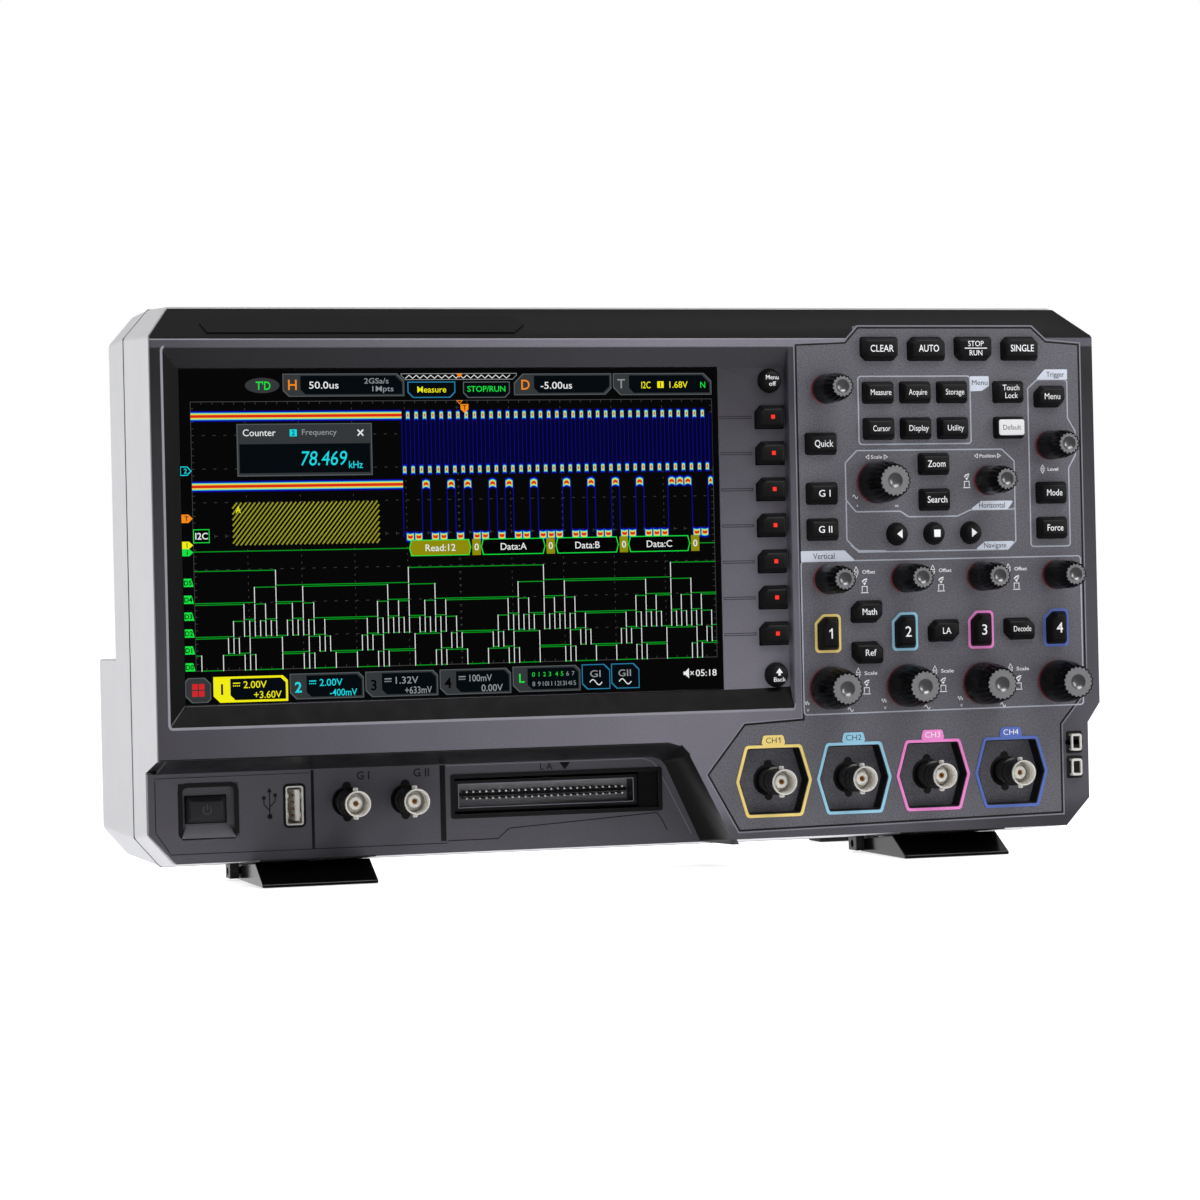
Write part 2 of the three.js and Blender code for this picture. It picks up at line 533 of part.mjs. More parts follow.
function makeMainBoard() {
  const face = 46;
  const chips = [[-30, 120, 42], [40, 130, 30], [40, 80, 24], [110, 90, 34], [-100, 100, 26]];
  const packages = chips.map(([x, z, size]) => prism(rectangle(x, z, size, size), face - 3, face + 0.5));
  const fins = [...Array(6).keys()].map((i) => block(
    [-46 + 6 * i, -43.5 + 6 * i], [face + 1, face + 12], [102, 138]));
  const shields = [0, 1, 2, 3].map((i) => prism(
    rectangle(BNC_COLUMNS[i], 48, 26, 18), face - 6, face + 0.5));
  const outline = [[-168, 8], [168, 8], [168, 186], [-168, 186]];
  return join(prism(outline, face, face + BOARD_THICKNESS), ...packages, ...fins, ...shields);
}

function makePowerSupply() {
  const board = block([-20, 108], [98, 124], [4, 6]);
  const transformer = block([6, 42], [99, 123], [5, 38]);
  const inductor = block([50, 66], [101, 121], [5, 26]);
  const sink = block([96, 101], [99, 123], [5, 44]);
  const caps = [-10, 78].map((x) => post(x, 111, 7, 5, 35));
  return join(board, transformer, inductor, sink, ...caps);
}

const FAN = { x: -110, z: 134, size: 70, front: 66, back: 86, hub: 13, hole: 32.5 };

function makeFanHousing() {
  const { x, z, size, front, back, hub, hole } = FAN;
  const opening = disc(x, z, hole, front - 1, back + 1, 32);
  const frame = cut(prism(rectangle(x, z, size, size), front, back), opening);
  const boss = disc(x, z, hub, back - 3, back);
  const arms = [block([x - 2, x + 2], [back - 3, back], [z - hole - 1, z + hole + 1]),
    block([x - hole - 1, x + hole + 1], [back - 3, back], [z - 2, z + 2])];
  return cut(join(frame, boss, ...arms), disc(x, z, 2.4, back - 4, back + 1, 12));
}

function makeFanRotor() {
  const { x, z, front, back, hub, hole } = FAN;
  const blades = [...Array(7).keys()].map((i) => new THREE.BoxGeometry(14, 1.4, hole - hub - 0.5)
    .rotateZ(0.6)
    .translate(0, 0, (hole + hub) / 2 - 1)
    .rotateY(i * 2 * Math.PI / 7)
    .translate(x, (front + back) / 2 - 2, z));
  return join(disc(x, z, hub, front + 2, back - 4), disc(x, z, 2, back - 5, back - 0.5, 12), ...blades);
}

const INLET = { x: 136, z: 34, width: 31, height: 24 };
const PORTS = { x: -88, z: 32, width: 118, height: 32 };

function makeMainsInlet() {
  const { x, z, width, height } = INLET;
  const body = prism(rectangle(x, z, width, height), 108, LOWER_BACK_Y + 0.6);
  const flange = prism(rectangle(x, z, width + 6, height + 6), 124, 127.8);
  const cavity = prism(rectangle(x, z, width - 4, height - 5, { tl: 4, tr: 4 }), 113, 140);
  const blades = [[-7, -2], [7, -2], [0, 3]].map(([dx, dz]) => block(
    [x + dx - 1, x + dx + 1], [112, 127], [z + dz - 2, z + dz + 2]));
  return join(cut(join(body, flange), cavity), ...blades);
}

// Sockets of the rear panel: centre from the middle of the block, size and depth.
const rearSockets = {
  network: { dx: -42, dz: 2, width: 15.5, height: 12.5, depth: 16 },
  usb_device: { dx: -20, dz: 1, width: 8.6, height: 7.9, depth: 12 },
  usb_host: { dx: -2, dz: 1, width: 12.6, height: 5.2, depth: 13 },
  video: { dx: 18, dz: 1, width: 15.2, height: 5.6, depth: 12 },
};
const TRIGGER_OUT_X = PORTS.x + 44;

function makeRearPorts() {
  const { x, z, width, height } = PORTS;
  const back = LOWER_BACK_Y + 0.4;
  const body = prism(rectangle(x, z, width, height), 106, back);
  const flange = prism(rectangle(x, z, width + 5, height + 5), 124, 127.8);
  const pockets = Object.values(rearSockets).map(({ dx, dz, width: w, height: h, depth }) => prism(
    rectangle(x + dx, z + dz, w, h), back - depth, back + 1));
  const barrel = turned([
    [0, back - 1], [BNC.outer, back - 1], [BNC.outer, back + 8], [BNC.bore, back + 8], [BNC.bore, back + 1],
    [0, back + 1]], TRIGGER_OUT_X, z, 16);
  return join(cut(join(body, flange), ...pockets), barrel);
}

// ---- feet, legs and handle ----------------------------------------------------------------------
const REAR_FEET_X = [-120, 120];

function makeRearFoot(x) {
  const pad = block([x - 13, x + 13], [108, 122], [SOLE_Z, SEAM_BOTTOM - GAP]);
  const stem = post(x, 115, 3, SEAM_BOTTOM - 1.5, SEAM_BOTTOM + 4.5);
  return join(pad, stem);
}

const LEG = { x: 124.5, width: 43, front: 4, back: 52.6, top: -5.3, hingeY: 50.5, hingeZ: -7.2, pin: 1.3 };
// The top of a leg keeps a small gap to the underside of the case, which drops towards the back.
const LEG_CREST = [17, -2.2];
const LEG_SHOULDER = [38, -4.2];

function makeLeg(side) {
  const centre = side * LEG.x;
  const [left, right] = [centre - LEG.width / 2, centre + LEG.width / 2];
  const profile = [
    [LEG.front, SOLE_Z], [LEG.front, SOLE_Z + 1.2], LEG_CREST, LEG_SHOULDER, [LEG.hingeY, LEG.top],
    [LEG.back - 0.4, LEG.top - 1.6], [LEG.back, SOLE_Z + 1.5], [LEG.back - 1, SOLE_Z]];
  const pin = new THREE.CylinderGeometry(LEG.pin, LEG.pin, LEG.width + 5.4, 12)
    .rotateZ(Math.PI / 2).translate(centre, LEG.hingeY, LEG.hingeZ);
  return join(beam(profile, left, right), pin);
}

// Lugs under the front frame that carry the pins of the two legs.
function legLugs() {
  return [-1, 1].flatMap((side) => [-1, 1].map((end) => {
    const inner = side * LEG.x + end * (LEG.width / 2 + 0.4);
    const across = end > 0 ? [inner, inner + 3.4] : [inner - 3.4, inner];
    const hole = new THREE.CylinderGeometry(LEG.pin + GAP, LEG.pin + GAP, 20, 12)
      .rotateZ(Math.PI / 2).translate(inner, LEG.hingeY, LEG.hingeZ);
    return cut(block(across, [46, 54.5], [-9.8, -3]), hole);
  }));
}

const HANDLE = { reach: 64.5, leg: 56, floor: 196.6, stopTop: 158, stopBottom: 152 };

function makeHandle() {
  const grip = beam([
    [63.8, HANDLE.floor + 0.5], [84.2, HANDLE.floor + 0.5], [84.2, SEAM_TOP - 1.2], [82.4, SEAM_TOP - 0.2],
    [65.6, SEAM_TOP - 0.2], [63.8, SEAM_TOP - 1.2]], 0.6 - HANDLE.reach, HANDLE.reach - 0.6);
  const straps = [-1, 1].flatMap((side) => [
    block(
      [side * HANDLE.leg - 5, side * HANDLE.leg + 5], [72.2, 75.8],
      [HANDLE.stopBottom + 1, HANDLE.floor + 1]),
    block([side * HANDLE.leg - 8, side * HANDLE.leg + 8], [71, 77], [HANDLE.stopBottom, HANDLE.stopTop])]);
  return join(grip, ...straps);
}

// ---- assembly -----------------------------------------------------------------------------------
add('front_bezel', makeBezel(), 'dark');
add('front_frame', join(makeFrontFrame(), ...legLugs()), 'light');
add('rear_housing', makeRearHousing(), 'light');
add('control_panel', makeControlPanel(), 'panel');
add('touch_glass', block(
  [GLASS.left, GLASS.right], [SCREEN_FLOOR + 0.1, GLASS.back], [GLASS.bottom, GLASS.top]), 'glass');
add('lcd_module', block(
  [GLASS.left - 2.7, GLASS.right + 2.6], [BEZEL_BACK + GAP, 13],
  [GLASS.bottom - 2.6, GLASS.top + 2.8]), 'steel');
add('keypad_board', makeKeypadBoard(), 'board');
add('main_board', makeMainBoard(), 'board');
add('power_supply', makePowerSupply(), 'board');
add('fan_housing', makeFanHousing(), 'black');
add('fan_rotor', makeFanRotor(), 'black');
add('mains_inlet', makeMainsInlet(), 'black');
add('rear_ports', makeRearPorts(), 'steel');
BNC_COLUMNS.forEach((x, i) => {
  const base = SOCKET_DEPTH + SOCKET_FLOOR + GAP;
  add(`channel_bnc_${i + 1}`, makeBnc(x, BNC_Z, -12.5, base, 13, 26), 'nickel');
});
GEN_BNC_X.forEach((x, i) => {
  add(`generator_bnc_${i + 1}`, makeBnc(x, GEN_BNC_Z, 5.9, STRIP_BACK + GAP, 13, 43), 'nickel');
});
add('logic_port', makeLogicPort(), 'black');
add('usb_port', makeUsbPort(), 'nickel');
PROBE_TERMINALS.forEach((spot, i) => add(`probe_terminal_${i + 1}`, makeProbeTerminal(spot), 'nickel'));
REAR_FEET_X.forEach((x, i) => add(`rear_foot_${['left', 'right'][i]}`, makeRearFoot(x), 'black'));
add('leg_left', makeLeg(-1), 'gloss');
add('leg_right', makeLeg(1), 'gloss');
add('handle', makeHandle(), 'black');
for (const [name, knob] of Object.entries(knobs)) add(name, makeKnob(knob), 'black');
for (const name of Object.keys(panelKeys)) {
  add(name, makeKeys(name), name === 'default_key' ? 'white' : 'black');
}
add('soft_keys', makeSoftKeys(), 'black');
add('power_key', makePowerKey(), 'black');
for (const [name, [x, z, radius]] of Object.entries(ROUND_KEYS)) {
  add(name, keyBody({ x, z, radius }, SCREEN_FLOOR, ...BEZEL_FLANGE), 'black');
}

// The group stands on Z = 0 with the middle of its depth at Y = 0.
instrument.position.set(0, -(LOWER_BACK_Y + 8.4 - KNOB_RISE) / 2, -SOLE_Z);

export default instrument;
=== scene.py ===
# Looks of a bench mixed-signal oscilloscope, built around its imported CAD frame.
import json
import math

import bmesh
import bpy
from mathutils import Matrix, Vector


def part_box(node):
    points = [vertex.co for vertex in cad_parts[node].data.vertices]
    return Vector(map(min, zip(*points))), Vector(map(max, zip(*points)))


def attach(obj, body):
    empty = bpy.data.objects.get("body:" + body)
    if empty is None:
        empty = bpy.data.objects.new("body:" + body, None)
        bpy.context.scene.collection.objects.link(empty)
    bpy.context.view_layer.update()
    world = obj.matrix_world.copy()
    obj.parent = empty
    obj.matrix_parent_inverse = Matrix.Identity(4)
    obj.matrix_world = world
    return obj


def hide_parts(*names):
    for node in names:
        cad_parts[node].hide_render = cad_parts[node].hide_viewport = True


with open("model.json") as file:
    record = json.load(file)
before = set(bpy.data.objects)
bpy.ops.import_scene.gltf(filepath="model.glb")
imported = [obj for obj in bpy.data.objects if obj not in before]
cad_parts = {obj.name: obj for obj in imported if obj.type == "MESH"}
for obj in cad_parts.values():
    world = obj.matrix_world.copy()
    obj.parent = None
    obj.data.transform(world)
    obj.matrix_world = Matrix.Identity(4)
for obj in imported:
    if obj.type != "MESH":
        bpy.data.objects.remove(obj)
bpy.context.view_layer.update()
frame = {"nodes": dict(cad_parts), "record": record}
NODES = frame["nodes"]

# ---- places, from the frame ------------------------------------------------------------------
# Pieces are laid out in millimetres from the lower middle of the front face: x to the right,
# y into the case and z up.
MM = 0.001
GLASS_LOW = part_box("touch_glass")[0]
FACE_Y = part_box("control_panel")[0].y
GLASS_RISE = 56.6               # from the lower edge of the front to the glass
BASE_Z = GLASS_LOW.z - GLASS_RISE * MM


def at(x, y, z):
    """The place in the frame, in metres, of a point in face millimetres."""
    return Vector((x * MM, FACE_Y + y * MM, BASE_Z + z * MM))


def face_mm(point):
    """A point of the frame in face millimetres."""
    return Vector((point.x, point.y - FACE_Y, point.z - BASE_Z)) / MM


def node_box(node):
    """Lowest and highest corner of a node's box, in face millimetres."""
    low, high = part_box(node)
    return face_mm(low), face_mm(high)


def centre_of(node):
    """Middle of a node's box, seen from the front."""
    low, high = node_box(node)
    return (low.x + high.x) / 2, (low.z + high.z) / 2


# ---- materials -------------------------------------------------------------------------------
COAT_ROUGHNESS = 0.15
PATCH_SCALE = 140.0             # of the patches where a surface is a little rougher or smoother
GRAIN_HEIGHT = 0.0002           # of the grain that a bump gives to a surface, in metres


def linear(red, green, blue):
    """Display colour, 0 to 255, as linear light."""
    channels = [c / 255 for c in (red, green, blue)]
    return tuple(c / 12.92 if c <= 0.04045 else ((c + 0.055) / 1.055) ** 2.4 for c in channels)


def noise(tree, scale, detail=2.0):
    coordinates = tree.nodes.new("ShaderNodeTexCoord")
    texture = tree.nodes.new("ShaderNodeTexNoise")
    texture.inputs["Scale"].default_value = scale
    texture.inputs["Detail"].default_value = detail
    tree.links.new(coordinates.outputs["Object"], texture.inputs["Vector"])
    return texture.outputs["Fac"]


def spread(tree, source, low, high, start=0.3, end=0.7):
    """A value between start and end, stretched to run from low to high."""
    node = tree.nodes.new("ShaderNodeMapRange")
    for name, value in (("From Min", start), ("From Max", end), ("To Min", low), ("To Max", high)):
        node.inputs[name].default_value = value
    tree.links.new(source, node.inputs["Value"])
    return node.outputs["Result"]


def product(tree, left, right):
    node = tree.nodes.new("ShaderNodeMath")
    node.operation = "MULTIPLY"
    tree.links.new(left, node.inputs[0])
    tree.links.new(right, node.inputs[1])
    return node.outputs[0]


def material(name, colour, roughness, metallic=0.0, shade=0.0, shade_mm=30.0, speckle=0.0,
             speckle_mm=0.5, rough=0.04, grain=0.0, grain_mm=0.4, coat=0.0, specular=0.5, light_falls=()):
    """Plastic, rubber or metal: colour drifts by shade and speckles, and its surface has a grain.

    Each of light_falls is an axis, a start and an end along it, and the factors on the colour there,
    which paint light and shade into it.
    """
    made = bpy.data.materials.new(name)
    made.use_nodes = True
    tree = made.node_tree
    shader = tree.nodes["Principled BSDF"]
    shader.inputs["Metallic"].default_value = metallic
    shader.inputs["Coat Weight"].default_value = coat
    shader.inputs["Coat Roughness"].default_value = COAT_ROUGHNESS
    shader.inputs["Specular IOR Level"].default_value = specular
    drift = spread(tree, noise(tree, 1 / (shade_mm * MM)), 1 - shade, 1 + shade)
    dots = spread(tree, noise(tree, 1 / (speckle_mm * MM), 1.0), 1 - speckle, 1 + speckle)
    factor = product(tree, drift, dots)
    for axis, start, end, low, high in light_falls:
        coordinates = tree.nodes.new("ShaderNodeTexCoord")
        parts = tree.nodes.new("ShaderNodeSeparateXYZ")
        tree.links.new(coordinates.outputs["Object"], parts.inputs[0])
        factor = product(tree, factor, spread(tree, parts.outputs[axis], low, high, start, end))
    tint = tree.nodes.new("ShaderNodeVectorMath")
    tint.operation = "SCALE"
    tint.inputs[0].default_value = colour
    tree.links.new(factor, tint.inputs["Scale"])
    tree.links.new(tint.outputs[0], shader.inputs["Base Color"])
    patches = spread(tree, noise(tree, PATCH_SCALE, 4.0), roughness - rough, roughness + rough)
    tree.links.new(patches, shader.inputs["Roughness"])
    if grain:
        bump = tree.nodes.new("ShaderNodeBump")
        bump.inputs["Strength"].default_value = grain
        bump.inputs["Distance"].default_value = GRAIN_HEIGHT
        tree.links.new(noise(tree, 1 / (grain_mm * MM), 3.0), bump.inputs["Height"])
        tree.links.new(bump.outputs["Normal"], shader.inputs["Normal"])
    return made


def moulding(name, colour, light_falls=()):
    """Dark plastic of the casing, with fine speckles."""
    return material(name, colour, 0.40, shade=0.03, speckle=0.10, grain=0.14, light_falls=light_falls)


def sideways(start, end, low, high):
    """A painted fall of light and shade from left to right, between places in face millimetres."""
    return "X", start * MM, end * MM, low, high


def upward(start, end, low, high):
    """A painted fall of light and shade from below to above, between places in face millimetres."""
    return "Z", BASE_Z + start * MM, BASE_Z + end * MM, low, high


def ink(name, colour, roughness=0.55):
    """Print on the casing and small plain surfaces."""
    return material(name, colour, roughness, shade=0.04, shade_mm=6.0)


def glow(name, colour, strength=1.0):
    """Part of the lit picture on the display."""
    made = material(name, (0.0, 0.0, 0.0), 0.12, rough=0.01, specular=0.08)
    shader = made.node_tree.nodes["Principled BSDF"]
    shader.inputs["Emission Color"].default_value = (*colour, 1.0)
    shader.inputs["Emission Strength"].default_value = strength
    return made


CASE_TONE = linear(76, 74, 82)
DARK = moulding("dark_plastic", CASE_TONE)
# A darker copy of the casing plastic: painted shade on the slope above the front, on the cheek beside
# the screen and on the blank plate.
SHADED_SLOPE = material("slope_plastic_painted_shade", linear(12, 11, 12), 0.34, shade=0.03, grain=0.08, specular=0.12)
# Painted light and shade on the front face: lighter from left to right, darker towards its right end,
# at its foot and towards its top, with a painted highlight on the narrow band under the slope.
PAINTED_FRONT = moulding("front_plastic_painted_light", CASE_TONE, [
    sideways(-190, 0, 0.75, 2.3), sideways(100, 160, 1.0, 0.5), upward(4, 12, 0.5, 1.0),
    upward(57, 175, 1.0, 0.25), upward(184.5, 185.0, 1.0, 4.8)])
# A lighter copy of the casing plastic: painted light on the face of the lower strip.
LIT_STRIP = moulding("strip_plastic_painted_light", linear(85, 83, 91))
# Painted shade on the sill under the screen, a darker copy of the casing plastic.
SHADED_SILL = material("sill_plastic_painted_shade", linear(10, 9, 10), 0.40, shade=0.03, grain=0.08, specular=0.08)
# A painted highlight on the bevelled edges of the bezel.
GLINT = material("edge_glint", linear(140, 138, 148), 0.40, shade=0.03)
# Painted highlight lines: beside the edge of the control panel, along the upper and right edges of the
# strip and round the mouth of the logic header.
LIT = material("edge_painted_highlight", linear(128, 126, 138), 0.42, shade=0.03, speckle=0.08, grain=0.12)
PANEL = material("panel_plastic", linear(98, 97, 105), 0.44, shade=0.02, speckle=0.34,
                 speckle_mm=0.55, grain=0.30, grain_mm=0.6)
LIGHT = material("light_plastic", linear(212, 212, 216), 0.48, shade=0.015, speckle=0.015, grain=0.16)
RUBBER = material("key_rubber", linear(15, 14, 16), 0.50, shade=0.05, shade_mm=4.0, grain=0.10,
                  grain_mm=0.3, specular=0.3)
WHITE_KEY = material("white_key", linear(232, 232, 234), 0.45, shade=0.02, grain=0.08)
BLACK = material("black_plastic", linear(20, 20, 22), 0.36, shade=0.04, grain=0.08)
GLOSS = material("leg_plastic", linear(6, 6, 7), 0.16, shade=0.05, rough=0.03, coat=0.12, specular=0.3)
POWER = material("power_key_plastic", linear(44, 44, 47), 0.42, shade=0.04, grain=0.08, specular=0.4)
SHROUD = material("header_floor", linear(165, 165, 171), 0.5, shade=0.08, shade_mm=3.0)
KNOB = material("knob_plastic", linear(4, 4, 4), 0.28, shade=0.06, shade_mm=5.0, specular=0.13)
KNOB_RED = material("knob_red", linear(150, 22, 30), 0.4, shade=0.05)
KNOB_DISH = material("knob_dish", linear(128, 127, 130), 0.32, metallic=0.85, shade=0.05)
KNOB_METAL = material("knob_metal", linear(136, 135, 138), 0.45, metallic=0.4, shade=0.05,
                      shade_mm=2.0, grain=0.14, grain_mm=0.15)
NICKEL = material("nickel", linear(246, 243, 237), 0.28, metallic=0.35, shade=0.03, rough=0.03)
SHADED_NICKEL = material("nickel_in_shade", linear(70, 68, 66), 0.24, metallic=0.9, shade=0.05,
                         rough=0.04)
# A painted highlight on the tips of the logic pins.
PIN_GLINT = material("pin_tip_painted_highlight", linear(250, 250, 248), 0.3, shade=0.02)
GOLD = material("contact_gold", linear(214, 150, 70), 0.25, metallic=1.0, shade=0.05)
INSULATOR = material("white_insulator", linear(238, 236, 230), 0.45, shade=0.02)
BOARD = material("circuit_board", linear(20, 66, 38), 0.45, shade=0.1, speckle=0.1)
STEEL = material("stamped_steel", linear(150, 150, 152), 0.38, metallic=0.9, shade=0.05, grain=0.05)
FOOT = material("foot_rubber", linear(24, 24, 25), 0.7, shade=0.05, grain=0.2)
GLASS = material("screen_glass", (0.001, 0.001, 0.0012), 0.06, shade=0.02, rough=0.015, specular=0.12)
SHADOW = material("groove_and_shade_black", linear(9, 9, 10), 0.6, shade=0.05)
LEGEND = ink("legend_white", linear(244, 245, 248))
FAINT = ink("line_pale", linear(172, 176, 188))
TAB = ink("tab_pale", linear(206, 212, 226))
DARK_INK = ink("legend_dark", linear(60, 60, 66))
LED_RED = glow("led_red", linear(235, 50, 40), 1.3)
CHANNEL_TONES = {"yellow": (242, 215, 124), "cyan": (150, 205, 231), "pink": (243, 136, 211),
                 "blue": (82, 108, 189)}
CHANNEL_INKS = [ink("channel_" + name, linear(*tone)) for name, tone in CHANNEL_TONES.items()]

# Material slot of the record, and the material that a node in it gets.
FINISHES = {
    "dark_plastic": DARK, "light_plastic": LIGHT, "panel_plastic": PANEL, "screen_glass": GLASS,
    "screen_frame": STEEL, "circuit_board": BOARD, "black_plastic": BLACK,
    "connector_shell": STEEL, "nickel": NICKEL, "foot_rubber": FOOT, "leg_plastic": GLOSS,
    "knob_plastic": KNOB, "key_rubber": RUBBER, "white_key": WHITE_KEY}
SLOT_OF = {entry["node"]: entry["material_slot"] for entry in frame["record"]["subparts"]}
BODY_OF = {node: body for body, nodes in frame["record"]["behaviour"]["bodies"].items()
           for node in nodes}


def paint(obj, *materials):
    obj.data.materials.clear()
    for each in materials:
        obj.data.materials.append(each)


for node, obj in NODES.items():
    paint(obj, FINISHES[SLOT_OF[node]])


# ---- camera, light and floor -----------------------------------------------------------------
CAMERA_SPOT = (-401.86, -1271.82, 93.37)        # in face millimetres
CAMERA_ANGLES = (16.817, 0.105, 1.283)          # yaw, pitch and roll in degrees
CAMERA_LENS = 107.54
SENSOR_WIDTH = 36
VIEW_END = 200
LIGHTS = (                                      # name, place, target, size and power
    ("key_light", (0.5, -1.3, 1.7), (0, 0, 0.1), (1.4, 0.6), 18),
    ("side_light", (-2.2, 0.2, 0.7), (0, 0, 0.1), (1.0, 1.4), 5),
    ("right_light", (2.0, -1.4, 0.7), (0.1, 0, 0.1), (0.5, 1.0), 12))
FLOOR_HALF = 40.0
FLOOR_DROP = 0.0002                             # of the floor under the feet
FLOOR_GLOW = 0.68


def make_camera():
    yaw, pitch, roll = (math.radians(angle) for angle in CAMERA_ANGLES)
    forward = Vector((math.sin(yaw) * math.cos(pitch), math.cos(yaw) * math.cos(pitch),
                      -math.sin(pitch)))
    level = Vector((math.cos(yaw), -math.sin(yaw), 0))
    down = forward.cross(level)
    right = level * math.cos(roll) + down * math.sin(roll)
    up = level * math.sin(roll) - down * math.cos(roll)
    data = bpy.data.cameras.new("camera")
    data.lens = CAMERA_LENS
    data.sensor_width = SENSOR_WIDTH
    data.clip_end = VIEW_END
    camera = bpy.data.objects.new("camera", data)
    bpy.context.scene.collection.objects.link(camera)
    turn = Matrix((right, up, -forward)).transposed().to_4x4()
    camera.matrix_world = Matrix.Translation(at(*CAMERA_SPOT)) @ turn
    bpy.context.scene.camera = camera


def area_light(name, place, target, size, power):
    data = bpy.data.lights.new(name, "AREA")
    data.shape = "RECTANGLE"
    data.size, data.size_y = size
    data.energy = power
    lamp = bpy.data.objects.new(name, data)
    bpy.context.scene.collection.objects.link(lamp)
    lamp.location = place
    lamp.rotation_euler = (Vector(target) - Vector(place)).to_track_quat("-Z", "Y").to_euler()


def make_studio():
    """A world that is brighter behind the object than in front of it, and three area lights."""
    world = bpy.data.worlds.new("studio")
    bpy.context.scene.world = world
    world.use_nodes = True
    tree = world.node_tree
    background = tree.nodes["Background"]
    background.inputs["Color"].default_value = (1.0, 1.0, 1.0, 1.0)
    coordinates = tree.nodes.new("ShaderNodeTexCoord")
    parts = tree.nodes.new("ShaderNodeSeparateXYZ")
    tree.links.new(coordinates.outputs["Generated"], parts.inputs[0])
    brightness = spread(tree, parts.outputs["Y"], 0.12, 1.0, -0.3, 0.85)
    tree.links.new(brightness, background.inputs["Strength"])
    for light in LIGHTS:
        area_light(*light)


def make_floor():
    """A large pale floor, lit a little from below as a light table is."""
    paper = material("floor_paper", (0.93, 0.93, 0.93), 0.9, specular=0.0)
    shader = paper.node_tree.nodes["Principled BSDF"]
    shader.inputs["Emission Color"].default_value = (1.0, 1.0, 1.0, 1.0)
    shader.inputs["Emission Strength"].default_value = FLOOR_GLOW
    corners = ((-1, -1), (1, -1), (1, 1), (-1, 1))
    mesh = bpy.data.meshes.new("floor")
    mesh.from_pydata([(x * FLOOR_HALF, y * FLOOR_HALF, -FLOOR_DROP) for x, y in corners], [],
                     [(0, 1, 2, 3)])
    floor = bpy.data.objects.new("floor", mesh)
    bpy.context.scene.collection.objects.link(floor)
    floor.visible_glossy = False
    paint(floor, paper)


make_camera()
make_studio()
make_floor()
bpy.context.scene.view_settings.view_transform = "Standard"


# ---- shapes ----------------------------------------------------------------------------------
CAPITAL_HEIGHT = 0.682          # of the lettering at size 1
LETTER_STEPS = 3                # pieces of each curve of a letter
INK = 0.04                      # how far print stands out of its surface
WELD_DISTANCE = 2e-6            # metres between points of a CAD piece that are one
FLAT_ANGLE = 0.5                # degrees between faces that are one
SHORT_EDGE = 2.2                # widths of its rounding that an edge must be longer than
SHELL_ANGLE = 35.0              # degrees at which the edge of a rounded CAD piece looks sharp


def flat(outline):
    return [Vector(point) for point in outline]


def turns_left(outline):
    points = flat(outline)
    return sum(a.x * b.y - b.x * a.y for a, b in zip(points, points[1:] + points[:1])) > 0


def left_handed(outline):
    """The outline with its points running counter-clockwise, seen from the front."""
    return flat(outline) if turns_left(outline) else flat(outline)[::-1]


def grow(outline, distance):
    """Every edge moved outwards by a distance, or inwards where it is negative."""
    points = left_handed(outline)
    moved = []
    for i, point in enumerate(points):
        before = (point - points[i - 1]).normalized()
        after = (points[(i + 1) % len(points)] - point).normalized()
        normal = Vector((before.y, -before.x)) + Vector((after.y, -after.x))
        moved.append(point + normal * (2 * distance / max(normal.length_squared, 0.5)))
    return moved


def rounded(outline, radius, steps=4):
    """The outline with each corner turned into an arc, unless it is all but straight."""
    points = left_handed(outline)
    result = []
    for i, corner in enumerate(points):
        back, ahead = points[i - 1] - corner, points[(i + 1) % len(points)] - corner
        a, b = back.normalized(), ahead.normalized()
        half = a.angle(b) / 2
        if half > math.radians(88):
            result.append(corner)
            continue
        reach = min(radius / math.tan(half), 0.48 * back.length, 0.48 * ahead.length)
        size = reach * math.tan(half)
        centre = corner + (a + b).normalized() * (size / math.sin(half))
        start, end = corner + a * reach - centre, corner + b * reach - centre
        sweep = start.angle_signed(end)
        for k in range(steps + 1):
            result.append(centre + Matrix.Rotation(-sweep * k / steps, 2) @ start)
    return result


def rectangle(x, z, width, height, cuts=None):
    """Corners from the lower right, counter-clockwise, with some of them cut off."""
    w, h = width / 2, height / 2
    points = []
    for name, sx, sz in (("br", 1, -1), ("tr", 1, 1), ("tl", -1, 1), ("bl", -1, -1)):
        size = (cuts or {}).get(name, 0)
        if not size:
            points.append((x + sx * w, z + sz * h))
            continue
        side, end = (x + sx * w, z + sz * (h - size)), (x + sx * (w - size), z + sz * h)
        points += [side, end] if sx * sz > 0 else [end, side]
    return flat(points)


def circle(x, z, radius, steps=24):
    return [Vector((x + radius * math.cos(2 * math.pi * i / steps),
                    z + radius * math.sin(2 * math.pi * i / steps))) for i in range(steps)]


def behind(front, profile):
    """A profile for lathe, with its depths counted on from a front."""
    return [(radius, front + y, *flute) for radius, y, *flute in profile]


